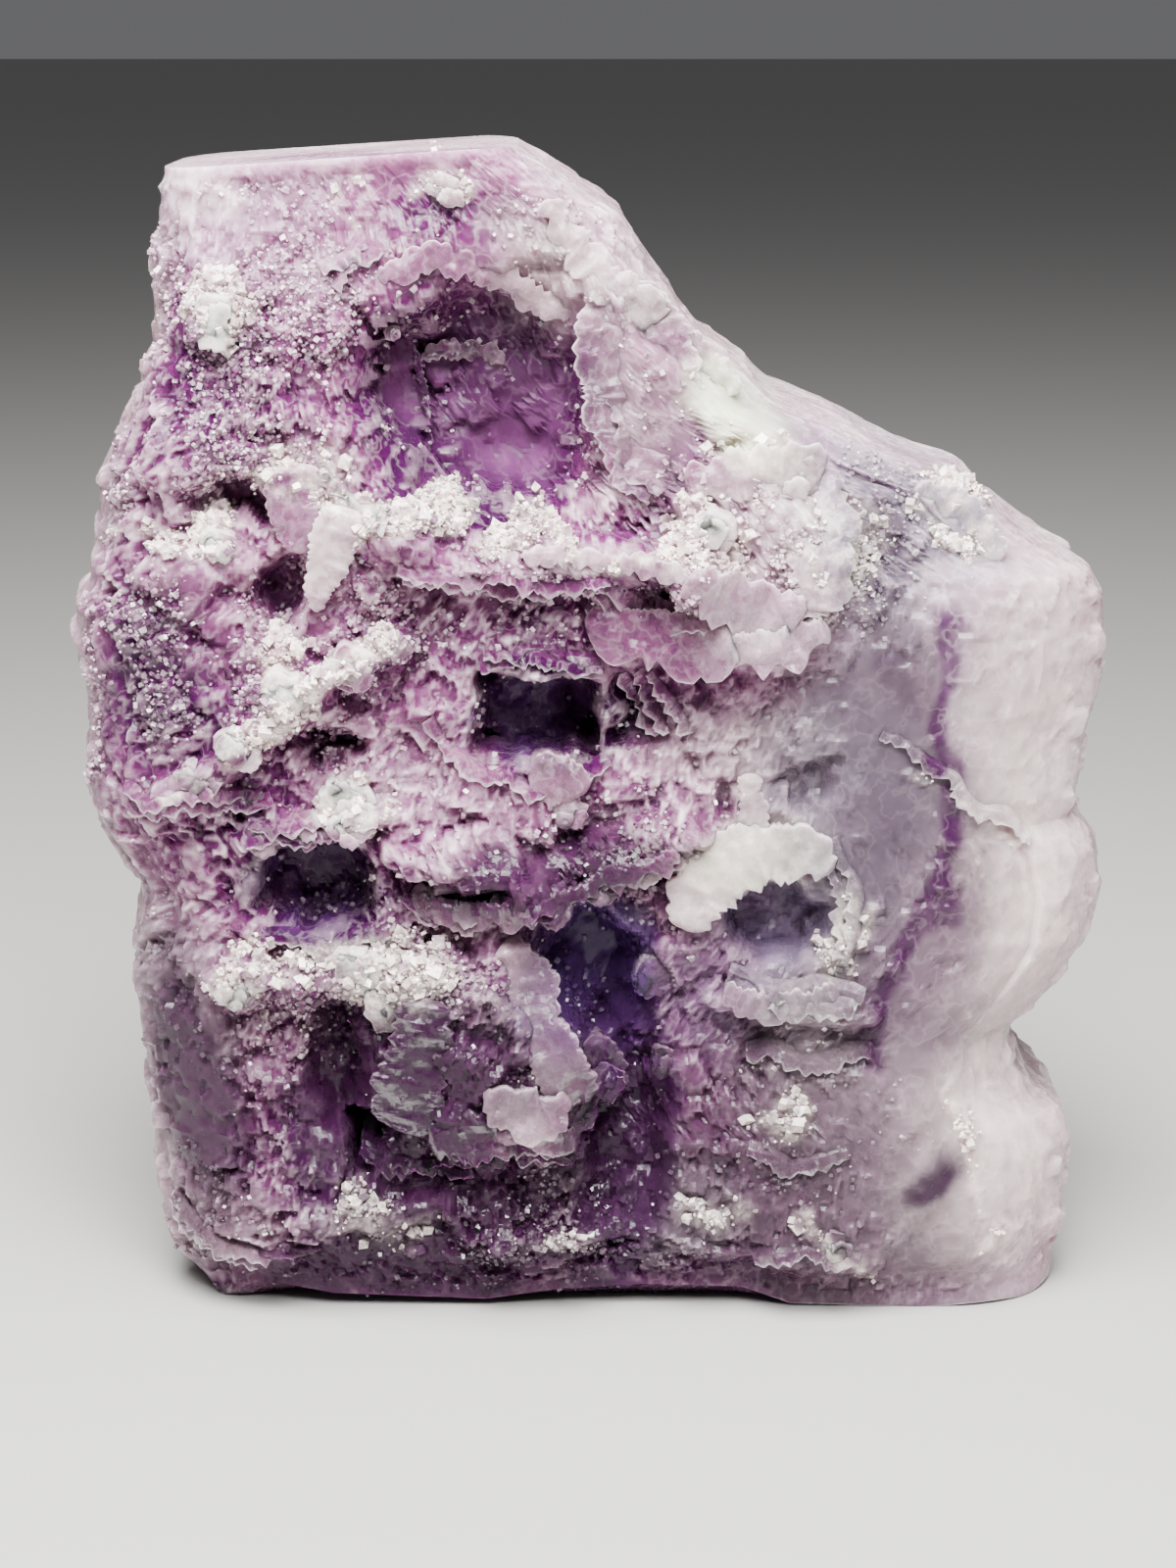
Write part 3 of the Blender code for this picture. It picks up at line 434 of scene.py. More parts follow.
# White crust along ledges: x and z of each end, half width, strength
WHITE_LINES = (
    (-19, 64.2, -14, 63.2, 1.2, 0.8),
    (-16, 63.0, -4.6, 62.4, 1.7, 1.0),
    (-4.6, 61.8, 2, 61.0, 1.1, 0.9),
    (2, 61, 8, 60.2, 0.8, 0.7),
    (-36.5, 60.6, -30, 61.2, 0.7, 0.85),
    (-31.5, 42.8, -26, 46.6, 1.1, 0.8),
    (-26, 46.6, -20, 51, 1.5, 0.95),
    (-20, 51, -14.5, 53.6, 1.2, 0.7),
    (-27, 29.4, -12, 30.4, 0.8, 0.4),
    (-10.4, 27.6, -4, 20, 0.8, 0.45),
    (-25, 66.6, -18, 63.4, 1.2, 0.6),
    (17, 9, 21.4, 2.4, 0.9, 0.7),
    (29, 17.5, 31.8, 5, 0.7, 0.5),
    (24, 43.4, 34, 37.4, 0.5, 0.5),
)
# Where the stone is glassy and smooth, without blocks
GLASSY = (
    (32, 40, 15, 52, 0, 0.5, 0.95),
    (19, 12, 12, 14, 0, 0.3, 0.3),
    (20, 44, 8, 18, 0, 0.3, 0.5),
    (-31.5, 18, 6, 14, 0, 0.3, 0.7),
    (-8, 71.4, 12, 11.5, -8, 0.55, 0.55),
    (3.6, 72, 6, 9, 8, 0.5, 0.9),
    (-12, 84.5, 20, 7, 0, 0.5, 0.75),
    (-31.5, 50, 8, 10, 0, 0.5, 0.35),
    (3, 18, 6, 17, 0, 0.4, 0.6),
    (-0.5, 27, 6, 7, 0, 0.5, 0.8),
    (14.3, 31.6, 5, 4, 0, 0.5, 0.9),
    (-13, 20, 5, 7, 14, 0.5, 0.7),
    (-19, 14, 5, 12, 0, 0.3, 0.5),
    (-15, 3.6, 9, 3.4, 0, 0.4, 0.6),
    (-20.5, 34.3, 5, 5, 0, 0.5, 0.7),
    (2, 48, 7, 5, 0, 0.4, 0.6),
    (14, 72, 17, 4.6, -37, 0.5, 0.9),
    (22, 61, 5.5, 8, -20, 0.5, -1.2),
)
# Loose growth that partly fills the slab's deeper hollows: same columns, height in mm
FILLED = ((38, 30, 16, 34, 0, 0.1, 2.4), (-6, 65.3, 9.5, 3.8, 0, 0.5, 4.6), (-4, 66, 9, 9, 0, 0.0, -2.2),
    (-0.5, 27.6, 5.6, 6.6, 0, 0.5, 3.6), (-3.9, 47.7, 5.4, 4.2, 0, 0.75, 4.2),
    (-21, 34.3, 4.7, 4.3, 0, 0.6, 4.4), (-13.4, 73.4, 5.5, 7.5, 12, 0.3, -2.6),
    (-9.6, 63.3, 6.4, 1.7, 0, 0.5, 2.6), (-13.4, 62.4, 2.6, 2.2, 0, 0.4, 1.2),
    (-5.4, 62.2, 1.8, 1.5, 0, 0.4, 1.0), (1.0, 47.9, 2.8, 4.8, 0, 0.2, 3.6),
    (-15.4, 73.4, 4, 6.5, 12, 0.3, -2.0))
# The dark purple vein down the right side, as (x, z)
VEIN = ((27.4, 55), (27.4, 51), (26.6, 47), (26.2, 42.5), (27.4, 37), (26.4, 32), (22.6, 27), (22.2, 20))
# Where the stone is crusted with sugary cubes
SUGAR = (
    (-26, 72, 13, 20, 0, 0.6, 1.0),
    (-32, 49, 9, 13, 0, 0.7, 1.0),
    (-8, 87, 20, 3, 0, 0.3, 0.2),
    (-6, 56, 16, 5, 0, 0.5, 0.8),
    (-24, 50, 12, 12, 0, 0.4, 0.7),
    (12.4, 60.5, 8, 9, 0, 0.6, 0.9),
    (-18, 27, 12, 8, 0, 0.5, 0.8),
    (-3, 6, 12, 7, 0, 0.4, 0.6),
    (-8, 20, 12, 11, 0, 0.4, 0.5),
    (6, 38, 14, 6, 0, 0.3, 0.4),
    (22, 61, 9, 9, 0, 0.4, 0.9),
    (18, 14, 10, 12, 0, 0.3, 0.25),
    (-29, 14, 8, 12, 0, 0.2, 0.3),
    (-10.5, 72, 9.5, 10, -8, 0.6, -1.2),
)
# Toothed hems that hang along rims: points (x, z) of the line, number of rows, size
RIMS = (
    (((0, 56.5), (3, 53.6), (7, 52.6), (11, 52.6)), 3, 1.9),
    (((9.5, 56), (12, 54), (15, 53), (18, 54.4)), 3, 1.8),
    (((-14, 33.2), (-10, 32), (-6, 32.4), (-2, 33.8), (3, 35.6), (7.4, 37.6)), 2, 1.3),
    (((-25.6, 38.6), (-21, 39.2), (-16, 39.6)), 2, 1.3),
    (((2.4, 50.6), (4.2, 48), (5.2, 45.6)), 3, 1.4),
    (((-8, 51.6), (-3, 51.8), (1, 51.4)), 2, 1.2),
    (((6.4, 33), (8, 31.6), (9.4, 33.6)), 2, 1.2),
    (((17.8, 38), (19, 35), (19.6, 31), (18.6, 28)), 2, 1.2),
    (((10.4, 27), (14, 25.6), (17, 26), (20.6, 25)), 2, 1.4),
    (((-8.6, 14.4), (-5, 13.6), (-1, 13.6)), 2, 1.4),
    (((-17.6, 12.6), (-13, 11.6), (-9, 12.4)), 2, 1.3),
    (((-20, 66), (-17.6, 63), (-15, 62)), 2, 1.2),
    (((0.4, 77), (0.6, 71), (2.4, 66), (4.4, 63.8)), 2, 1.3),
    (((-19, 80), (-15.6, 82.4)), 2, 1.3),
    (((-35, 41), (-29, 41.4), (-24, 41.6)), 2, 1.2),
    (((12.6, 21.6), (17, 20.6), (22, 21.4)), 1, 1.4),
    (((12, 14), (16, 12.6), (20, 13.4)), 1, 1.4),
    (((13, 4.6), (17, 5.4), (21, 4.4)), 1, 1.4),
    (((22, 46.6), (26, 43.6), (30, 40.4), (34, 37.6)), 1, 1.2),
    (((-33.4, 8), (-30, 5), (-26, 3.6)), 2, 1.4),
    (((-14, 58.4), (-9, 57.8), (-4, 57.4), (2, 57.8)), 2, 1.3),
    (((-12, 47), (-9.4, 43.4), (-4, 42.6), (2, 43.6)), 1, 1.2),
    (((-25, 30.6), (-20, 29.4), (-15, 31)), 1, 1.2),
)


def hex_linear(code):
    """An sRGB hex colour as linear numbers: each channel c becomes ((c + 0.055) / 1.055) to the 2.4."""
    channels = [int(code[n : n + 2], 16) / 255 for n in (1, 3, 5)]
    return [c / 12.92 if c <= 0.04045 else ((c + 0.055) / 1.055) ** 2.4 for c in channels] + [1.0]


def rounds(x, z, rows):
    """Sum of soft ovals at x, z: each is full to its flat share of the radius and fades out at its rim."""
    total = np.zeros(np.shape(x))
    for cx, cz, rx, rz, turn, flat, strength in rows:
        c, s = math.cos(math.radians(turn)), math.sin(math.radians(turn))
        u = ((x - cx) * c + (z - cz) * s) / rx
        w = ((z - cz) * c - (x - cx) * s) / rz
        total = total + strength * smooth(1.0, flat, np.sqrt(u * u + w * w))
    return total


def line_distance(x, z, points):
    """Shortest distance from x, z to a line of points."""
    best = np.full(np.shape(x), 1e3)
    for (x0, z0), (x1, z1) in zip(points[:-1], points[1:]):
        run = (x1 - x0) ** 2 + (z1 - z0) ** 2
        t = np.clip(((x - x0) * (x1 - x0) + (z - z0) * (z1 - z0)) / run, 0.0, 1.0)
        best = np.minimum(best, np.hypot(x - x0 - t * (x1 - x0), z - z0 - t * (z1 - z0)))
    return best


# The front's relief, worked out once on a square grid and read back between its points
MAP_STEP = 0.25
MAP_X = np.arange(-50.0, 50.01, MAP_STEP)
MAP_Z = np.arange(-10.0, 100.01, MAP_STEP)
RELIEF_MAP = relief(MAP_X[None, :], MAP_Z[:, None])
RELIEF_SLOPE = np.hypot(*np.gradient(RELIEF_MAP, MAP_STEP))


def read_map(grid, x, z):
    """Value of a map at x, z, blended between its four nearest points."""
    i = np.clip((z - MAP_Z[0]) / MAP_STEP, 0, len(MAP_Z) - 1.001)
    j = np.clip((x - MAP_X[0]) / MAP_STEP, 0, len(MAP_X) - 1.001)
    a, b = i.astype(int), j.astype(int)
    f, g = i - a, j - b
    low = grid[a, b] * (1 - g) + grid[a, b + 1] * g
    high = grid[a + 1, b] * (1 - g) + grid[a + 1, b + 1] * g
    return low * (1 - f) + high * f


# How far cubes stand or sink from the surface: a random 0 to 1 less this share
SUNK_SHARE = 0.75
# Cubes and flakes turn together within patches of this width, in mm
CUBE_PATCH = 17.0
FLAKE_PATCH = 7.0


def crystal_share(x, z, front):
    """How strongly crystals show: full on the left and middle of the front, faint on its right."""
    right = smooth(6.0, 20.0, x - 0.2 * np.maximum(z - 45.0, 0.0))
    return np.where(front > 0.3, 1.0 - 0.7 * right, 0.45)


def turned_axes(normals, patch, jitter):
    """Cube axes at each point: the outward one leans by the patch's nod and swing, and the other two
    turn about it. Cells of one patch share their turn, give or take a little."""
    q = patch
    turn = 1.5 * rnd(q[:, 0], q[:, 1], q[:, 2], 71) + 0.24 * (jitter[:, 0] - 0.5)
    nod = 0.75 * (rnd(q[:, 0], q[:, 1], q[:, 2], 72) - 0.5) + 0.22 * (jitter[:, 1] - 0.5)
    swing = 0.75 * (rnd(q[:, 0], q[:, 1], q[:, 2], 73) - 0.5) + 0.22 * (jitter[:, 2] - 0.5)
    side = np.stack([-normals[:, 1], normals[:, 0], np.zeros(len(normals))], axis=1)
    side /= np.maximum(np.linalg.norm(side, axis=1), 1e-6)[:, None]
    up = np.cross(normals, side)
    a = side * np.cos(turn)[:, None] + up * np.sin(turn)[:, None]
    b = up * np.cos(turn)[:, None] - side * np.sin(turn)[:, None]
    face = normals + a * np.tan(nod)[:, None] + b * np.tan(swing)[:, None]
    face /= np.linalg.norm(face, axis=1)[:, None]
    a = a - face * np.einsum("ij,ij->i", a, face)[:, None]
    a /= np.linalg.norm(a, axis=1)[:, None]
    return face, a, np.cross(face, a)


def crystals(points, normals, front, spacing, salt, chance):
    """Height of intergrown cubes over the smooth slab. Each lattice cell near the surface holds one
    cube, turned with its neighbours; a point's height is the furthest exit of its normal from them."""
    height = np.full(len(points), -99.0)
    base = np.floor(points / spacing).astype(np.int64)
    for di in (-1, 0, 1):
        for dj in (-1, 0, 1):
            for dk in (-1, 0, 1):
                i, j, k = base[:, 0] + di, base[:, 1] + dj, base[:, 2] + dk
                cell = np.stack([i, j, k], axis=1)
                jitter = np.stack([rnd(i, j, k, salt + n) for n in (1, 2, 3)], axis=1)
                centre = (cell + 0.2 + 0.6 * jitter) * spacing
                away = points - centre
                depth = np.einsum("ij,ij->i", away, normals)
                flat = away - depth[:, None] * normals
                patch = np.floor(centre / CUBE_PATCH + 0.3 * jitter).astype(np.int64)
                lean = np.stack([rnd(i, j, k, salt + n) for n in (4, 5, 6)], axis=1)
                face, a, b = turned_axes(normals, patch, lean)
                share = crystal_share(centre[:, 0], centre[:, 2], front)
                size = spacing * (0.26 + 0.2 * rnd(i, j, k, salt + 7)) * (0.7 + 0.3 * share)
                lift = read_map(RELIEF_MAP, centre[:, 0], centre[:, 2]) * front
                sunk = rnd(i, j, k, salt + 8) - SUNK_SHARE
                lift = lift + sunk * 0.45 * spacing - (1 - share) * 0.35 * spacing
                leave = np.full(len(points), 99.0)
                enter = np.full(len(points), -99.0)
                for axis, long in ((face, 0.55), (a, 1.0), (b, 1.0)):
                    facing = np.einsum("ij,ij->i", axis, normals)
                    facing = np.where(np.abs(facing) < 0.03, 0.03, facing)
                    across = np.einsum("ij,ij->i", axis, flat)
                    t0 = (size * long - across) / facing
                    t1 = (-size * long - across) / facing
                    leave = np.minimum(leave, np.maximum(t0, t1))
                    enter = np.maximum(enter, np.minimum(t0, t1))
                inside = (leave > enter) & (np.abs(depth) < 0.6 * spacing)
                inside = inside & (rnd(i, j, k, salt + 9) < chance)
                height = np.maximum(height, np.where(inside, leave + lift, -99.0))
    return height


def tiles(s, z, spacing, salt, lean):
    """Height of ragged overlapping flakes on the sheet s, z, and the strength of the painted highlight on
    their rims. Each lattice cell holds one tilted square; a point's height is that of the foremost square
    over it. Squares turn with their neighbours, and lean tips their lower edges out, where the painted rim
    highlight is strongest."""
    best = np.full(len(s), -0.6 * spacing)
    rim = np.zeros(len(s))
    i0, j0 = np.floor(s / spacing).astype(np.int64), np.floor(z / spacing).astype(np.int64)
    for di in (-1, 0, 1):
        for dj in (-1, 0, 1):
            i, j = i0 + di, j0 + dj
            r = [rnd(i, j, 0 * i, salt + n) for n in range(8)]
            ds, dz = s - (i + r[0]) * spacing, z - (j + r[1]) * spacing
            pi = np.floor((i + r[0]) * spacing / FLAKE_PATCH + 0.5 * r[6]).astype(np.int64)
            pj = np.floor((j + r[1]) * spacing / FLAKE_PATCH + 0.5 * r[7]).astype(np.int64)
            turn = 0.79 + 1.2 * (rnd(pi, pj, 0 * pi, salt + 9) - 0.5) + 0.5 * (r[2] - 0.5)
            u, w = ds * np.cos(turn) + dz * np.sin(turn), dz * np.cos(turn) - ds * np.sin(turn)
            long, tall = spacing * (0.45 + 0.45 * r[3]), spacing * (0.45 + 0.45 * r[4])
            within = np.minimum(long - np.abs(u), tall - np.abs(w))
            tip = lean * (0.3 + 1.1 * r[6])
            height = (r[5] - 0.5) * 0.4 * spacing - dz * tip + ds * 0.5 * (r[7] - 0.5)
            better = (within > 0) & (height > best)
            best = np.where(better, height, best)
            # painted highlight along the square's rim, brightest on its lower edges
            glow = smooth(0.34, 0.1, within) * np.where(dz < 0, 1.0, 0.25) * (0.3 + 0.7 * r[2])
            rim = np.where(better, glow, rim)
    return best, rim


def spread(values, reach):
    """Mean of a grid over a square window of the given reach, wrapped round the slab and held at its
    ends: running sums along the rows, then along the columns."""
    wide = 2 * reach + 1
    wrapped = np.concatenate([values[:, -reach:], values, values[:, :reach]], axis=1)
    sums = np.cumsum(np.pad(wrapped, ((0, 0), (1, 0))), axis=1)
    rows = (sums[:, wide:] - sums[:, :-wide]) / wide
    held = np.pad(rows, ((reach, reach), (0, 0)), mode="edge")
    sums = np.cumsum(np.pad(held, ((1, 0), (0, 0))), axis=0)
    return (sums[wide:] - sums[:-wide]) / wide


def grid_normals(p):
    """Outward direction at each grid point: cross product of its neighbours' differences along the
    loop and up the rows."""
    along = np.roll(p, -1, axis=1) - np.roll(p, 1, axis=1)
    up = np.empty_like(p)
    up[1:-1] = p[2:] - p[:-2]
    up[0], up[-1] = p[1] - p[0], p[-1] - p[-2]
    n = np.cross(along, up)
    return n / np.maximum(np.linalg.norm(n, axis=2), 1e-9)[:, :, None]


def tints_at(x, z, front, warp):
    """Strength of each tint at x, z, with the zones' outlines pushed about by soft noise."""
    x, z = x + warp[:, 0], z + warp[:, 1]
    made = {name: rounds(x, z, rows) * (0.25 + 0.75 * front) for name, rows in TINTS.items()}
    made["purple"] = made["purple"] + 0.52 - 0.22 * smooth(6.0, 22.0, x)
    # painted light and shade: purple deepens towards the bottom and thins towards the top
    made["purple"] = made["purple"] + 0.14 * smooth(45.0, 5.0, z) - 0.26 * smooth(70.0, 88.0, z)
    made["milk"] = made["milk"] + 0.35 * (1 - front)
    for x0, z0, x1, z1, wide, strength in WHITE_LINES:
        near = smooth(1.0, 0.35, line_distance(x, z, ((x0, z0), (x1, z1))) / wide)
        made["white"] = made["white"] + strength * near * front
    made["vein"] = smooth(1.7, 0.4, line_distance(x, z, VEIN)) * front
    return {name: np.clip(value, 0.0, 1.0) for name, value in made.items()}


def stone_surface():
    """The whole stone on one grid, round the slab and up it: smooth slab, plus the front's hollows and
    ledges, plus the furthest out of two sizes of intergrown cubes, plus ragged flakes, ribs that stand
    where a noise crosses its middle, and froth on the crust. The back and sides are ridges of the same
    kind of noise. Gives its points, outward directions and the strengths that its finish reads."""
    grid, out, shrink = slab_grid(204, 36, 18, 14, 44, 242, 6)
    shape = grid.shape[:2]
    p, n = grid.reshape(-1, 3), out.reshape(-1, 3)
    front = smooth(0.15, 0.85, -n[:, 1]) * (p[:, 1] < 0)
    back = smooth(0.3, 0.9, n[:, 1])
    top = np.interp(p[:, 0], *TOP_LINE)
    edge = smooth(0.0, 1.8, p[:, 2]) * smooth(0.2, 1.4, top - p[:, 2])
    cap = (shrink.reshape(-1) < 1.0) | (p[:, 2] < 0.01) | (p[:, 2] > 89.99)
    ragged = [0.9 * noise(p, 2.4, 61 + k) + 0.5 * noise(p, 1.2, 63 + k) for k in (0, 1)]
    worn = p[:, 0] + ragged[0], p[:, 2] + ragged[1]
    hollow = (read_map(RELIEF_MAP, *worn) + rounds(*worn, FILLED)) * front
    shallow = 1 - 0.55 * smooth(2.5, 7.0, -hollow)
    low = hollow - 0.8 * (1 - front)
    big = crystals(p, n, front, 5.6, 100, 0.6)
    mid = crystals(p, n, front, 3.0, 300, 0.85)
    unrolled = p[:, 0] + np.sign(p[:, 0]) * (p[:, 1] + HALF_THICK)
    s = np.where(n[:, 1] > 0.6, 300.0 - p[:, 0], unrolled) + 0.8 * noise(p, 2.4, 41)
    z = p[:, 2] + 0.8 * noise(p, 2.6, 42)
    share = crystal_share(p[:, 0], p[:, 2], front)
    wide_flakes, wide_rim_light = tiles(s, z, 4.4, 780, 0.28)
    mid_flakes, mid_rim_light = tiles(s, z, 2.3, 800, 0.3)
    low_flakes, low_rim_light = tiles(s, z, 1.2, 820, 0.3)
    dust, dust_rim_light = tiles(s + 0.3 * noise(p, 0.9, 43), z, 0.7, 840, 0.2)
    flakes = wide_flakes * 0.22 * share + mid_flakes * (0.12 + 0.25 * share)
    flakes = flakes + low_flakes * (0.16 + 0.22 * share) + dust * 0.35
    rim = np.maximum(wide_rim_light * share, 0.85 * mid_rim_light * (0.3 + 0.7 * share))
    rim = np.maximum.reduce([rim, 0.55 * low_rim_light * (0.5 + 0.5 * share), 0.25 * dust_rim_light])
    steep = smooth(1.2, 3.0, read_map(RELIEF_SLOPE, *worn)) * front
    calm = rounds(p[:, 0], p[:, 2],
        GLASSY) * (0.45 + 0.75 * smooth(-0.35, 0.25, noise(p, 6.0, 33) + 0.4 * noise(p, 2.5, 34)))
    calm = np.clip(calm + 0.35 * smooth(0.1, 0.5, noise(p, 7.0, 35)), 0, 1) * front
    flakes = flakes * shallow * (1 - 0.9 * steep) * (1 - 0.75 * calm)
    rim = rim * (1 - 0.6 * calm)
    sugar = np.clip(rounds(p[:, 0], p[:, 2], SUGAR), 0, 1) * front
    bent_back = p + 3.0 * np.stack([noise(p, 8.0, 56 + k) for k in range(3)], axis=1)
    rough = 1.1 * noise(p, 9.0, 5) + 0.4 * noise(p, 3.1, 6)
    broad = back * (2.2 * noise(p, 24.0, 7) + 0.4 * noise(bent_back, 6.0, 9) - 1.0)
    sides = (1 - front) * (1 - back)
    grown = np.maximum(np.maximum(low - 0.9, big), mid)
    smooth_share = np.clip(0.2 + 0.7 * calm, 0, 0.8) * front
    grown = grown + (low - 0.5 - grown) * smooth_share
    grown = low - 0.5 + (grown - low + 0.5) * (1 - 0.4 * front)
    broken = 2.4 * (0.35 - np.abs(noise(bent_back, 15.0, 36)))
    broken = broken + 0.35 - np.abs(noise(bent_back, 6.5, 37))
    grown = np.where(back > 0.2, 2 * broken, grown)
    grown = np.where(sides > 0, np.clip(grown, -1.6, 0.5),
        grown) * (1 - 0.75 * sides) + 0.5 * broken * sides
    crusted = tints_at(p[:, 0], p[:, 2], front, 0 * p[:, :2])["white"]
    froth = 0.8 * (0.5 - np.abs(noise(p, 1.5, 51))) + 0.5 * (0.5 - np.abs(noise(p, 0.75, 52)))
    bent = p + 0.7 * np.stack([noise(p, 1.7, 44 + k) for k in range(3)], axis=1)
    ribs = 0.45 * (1 - np.abs(noise(bent, 2.6, 53))) ** 7 + 0.25 * (1 - np.abs(noise(bent, 1.3, 54))) ** 6
    seen = 0.1 + 0.9 * front
    fine = 0.8 * flakes * (1 - 0.7 * crusted) * seen + crusted * froth
    fine = fine + (ribs - 0.2) * seen * (1 - 0.6 * calm) * shallow * (1 - 0.9 * steep)
    fine = fine + 0.06 * noise(p, 0.7, 8)
    move = (grown * (1 - 0.5 * back) + rough * (0.3 + 0.5 * back) + broad + fine) * edge
    move = np.where(cap, 0.0, move)
    q = p + n * move[:, None]
    q[:, 2] = np.minimum(q[:, 2], np.interp(q[:, 0], *TOP_LINE) - 0.03 * (1.0 - shrink.reshape(-1)))
    hx, hz = np.array(FRONT_HEM, float).T
    hem = np.interp(q[:, 0], hx, hz) * smooth(BASE_FRONT, BASE_FRONT + 3.5, -q[:, 1])
    tail = 1.4 * smooth(BASE_FRONT, BASE_FRONT + 5.5, q[:, 1])
    heel = 1.2 * smooth(28.0, 32.0, -q[:, 0]) + 0.6 * smooth(34.0, 38.0, q[:, 0])
    q[:, 2] += np.maximum(np.maximum(hem, tail), heel) * smooth(8.0, 0.0, q[:, 2])
    q = q.reshape(shape + (3,))
    face = grid_normals(q)
    move = np.where(cap, 0.0, move).reshape(shape)
    warp = np.stack([1.3 * noise(p, 3.6, 21 + k) + 0.6 * noise(p, 1.3, 22 + k) for k in (0, 2)], axis=1)
    tint = tints_at(p[:, 0], p[:, 2], front, warp)
    bumps = (move - spread(move, 2)).reshape(-1)
    # painted light: flake rims and raised bumps get a painted highlight, fainter in hollows, and creases
    # that sink below their surroundings get painted shade
    rim = rim * (1 - 0.85 * smooth(3.0, 8.0, -hollow))
    rim = rim * (0.35 + 0.65 * smooth(-0.3, 0.4, noise(p, 5.0, 47)))
    tint["crest"] = np.clip(rim + np.clip(bumps / 1.2, -0.8, 0.25), -1, 1)
    # painted shade in crevices that sink below their surroundings and in the deep pockets
    deep = np.clip(-hollow, 0, 12)
    recess_shade = (spread(move, 12) - move).reshape(-1) / 13.0
    tint["pit"] = np.clip(recess_shade + smooth(7.0, 11.0, deep) * 0.9, 0, 0.95)
    tint["white"] = tint["white"] * smooth(-0.5, 0.2, noise(p, 2.6, 48) + 0.5 * noise(p, 1.1, 49))
    tint["sugar"] = sugar
    tint["calm"] = calm
    return q, face, front.reshape(shape), tint


def put_mesh(name, points, faces, tints, material, smooth_angle=None, flat=True):
    """A piece from arrays: points in millimetres, faces as a list of index arrays of equal length each,
    with its strengths stored on its points."""
    mesh = bpy.data.meshes.new(name)
    count = sum(len(f) for f in faces)
    loops = np.concatenate([f.reshape(-1) for f in faces])
    sizes = np.concatenate([np.full(len(f), f.shape[1]) for f in faces])
    starts = np.concatenate([[0], np.cumsum(sizes)[:-1]])
    mesh.vertices.add(len(points))
    mesh.loops.add(len(loops))
    mesh.polygons.add(count)
    moved = (points - np.array([MIDDLE_X, MIDDLE_Y, 0.0])) * MM
    moved[:, 2] = np.maximum(moved[:, 2], 0.0)
    mesh.vertices.foreach_set("co", moved.astype(np.float32).reshape(-1))
    mesh.loops.foreach_set("vertex_index", loops.astype(np.int32))
    mesh.polygons.foreach_set("loop_start", starts.astype(np.int32))
    mesh.polygons.foreach_set("loop_total", sizes.astype(np.int32))
    mesh.update(calc_edges=True)
    mesh.polygons.foreach_set("use_smooth", np.full(count, not flat))
    for key, values in tints.items():
        layer = mesh.attributes.new(key, "FLOAT", "POINT")
        layer.data.foreach_set("value", np.asarray(values, np.float32))
    mesh.materials.append(material)
    if smooth_angle is not None:
        mesh.set_sharp_from_angle(angle=math.radians(smooth_angle))
    piece = bpy.data.objects.new(name, mesh)
    bpy.context.scene.collection.objects.link(piece)
    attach(piece, "root")
    return piece


# --- leaves, hems and grains ------------------------------------------------
def rows_turned(spin, nod, swing):
    """Turning matrices from degrees: spin about the view, then nod, then swing to the right."""
    s, n, w = (np.radians(np.asarray(v, float)) for v in (spin, nod, swing))
    cs, ss, cn, sn, cw, sw = np.cos(s), np.sin(s), np.cos(n), np.sin(n), np.cos(w), np.sin(w)
    o, l = np.zeros_like(s), np.ones_like(s)
    first = np.stack([np.stack([cs, o, ss], -1), np.stack([o, l, o], -1), np.stack([-ss, o, cs], -1)], -2)
    second = np.stack([np.stack([l, o, o], -1), np.stack([o, cn, -sn], -1), np.stack([o, sn, cn], -1)], -2)
    third = np.stack([np.stack([cw, -sw, o], -1), np.stack([sw, cw, o], -1), np.stack([o, o, l], -1)], -2)
    return third @ second @ first


def leave_square(directions, centre_x, centre_z, turn, half_x, half_z):
    """How far each ray from the middle runs before it leaves a turned rectangle, or 0 where it misses."""
    c, s = np.cos(turn), np.sin(turn)
    dx, dz = directions[0] * c + directions[1] * s, directions[1] * c - directions[0] * s
    px, pz = centre_x * c + centre_z * s, centre_z * c - centre_x * s
    dx = np.where(np.abs(dx) < 1e-6, 1e-6, dx)
    dz = np.where(np.abs(dz) < 1e-6, 1e-6, dz)
    ax, bx, az, bz = (px - half_x) / dx, (px + half_x) / dx, (pz - half_z) / dz, (pz + half_z) / dz
    leave = np.minimum(np.maximum(ax, bx), np.maximum(az, bz))
    enter = np.maximum(np.minimum(ax, bx), np.minimum(az, bz))
    return np.where((leave > enter) & (leave > 0), leave, 0.0)


def evened(values, reach, **ends):
    """Running mean along a row of numbers, held at its ends unless ends says how it carries on."""
    window = 2 * reach + 1
    longer = np.pad(values, reach, **(ends or {"mode": "edge"}))
    return np.convolve(longer, np.ones(window) / window, "valid")


def steps_along(line, step, extra):
    """Even steps along a line of points: how far along its points lie, and how far the steps lie."""
    run = np.concatenate([[0], np.cumsum(np.hypot(*np.diff(line[:, :2], axis=0).T))])
    return run, np.linspace(0, run[-1], int(run[-1] / step) + extra)


def sideways(x, z):
    """Direction square to a curve at each of its points, to the right as seen along it."""
    tx, tz = evened(np.gradient(x), 6), evened(np.gradient(z), 6)
    long = np.maximum(np.hypot(tx, tz), 1e-6)
    return tz / long, -tx / long


def swept(start, count, around):
    """Faces of a tube of count sections with around points each: its skin, and a fan over each end."""
    index = start + np.arange(count * around).reshape(count, around)
    nxt = np.roll(index, -1, axis=1)
    skin = np.stack([index[:-1], index[1:], nxt[1:], nxt[:-1]], axis=-1).reshape(-1, 4)
    first = np.stack([np.full(around - 2, index[0, 0]), index[0, 1:-1], index[0, 2:]], axis=-1)
    last = np.stack([np.full(around - 2, index[-1, 0]), index[-1, 2:], index[-1, 1:-1]], axis=-1)
    return skin, np.concatenate([first, last])
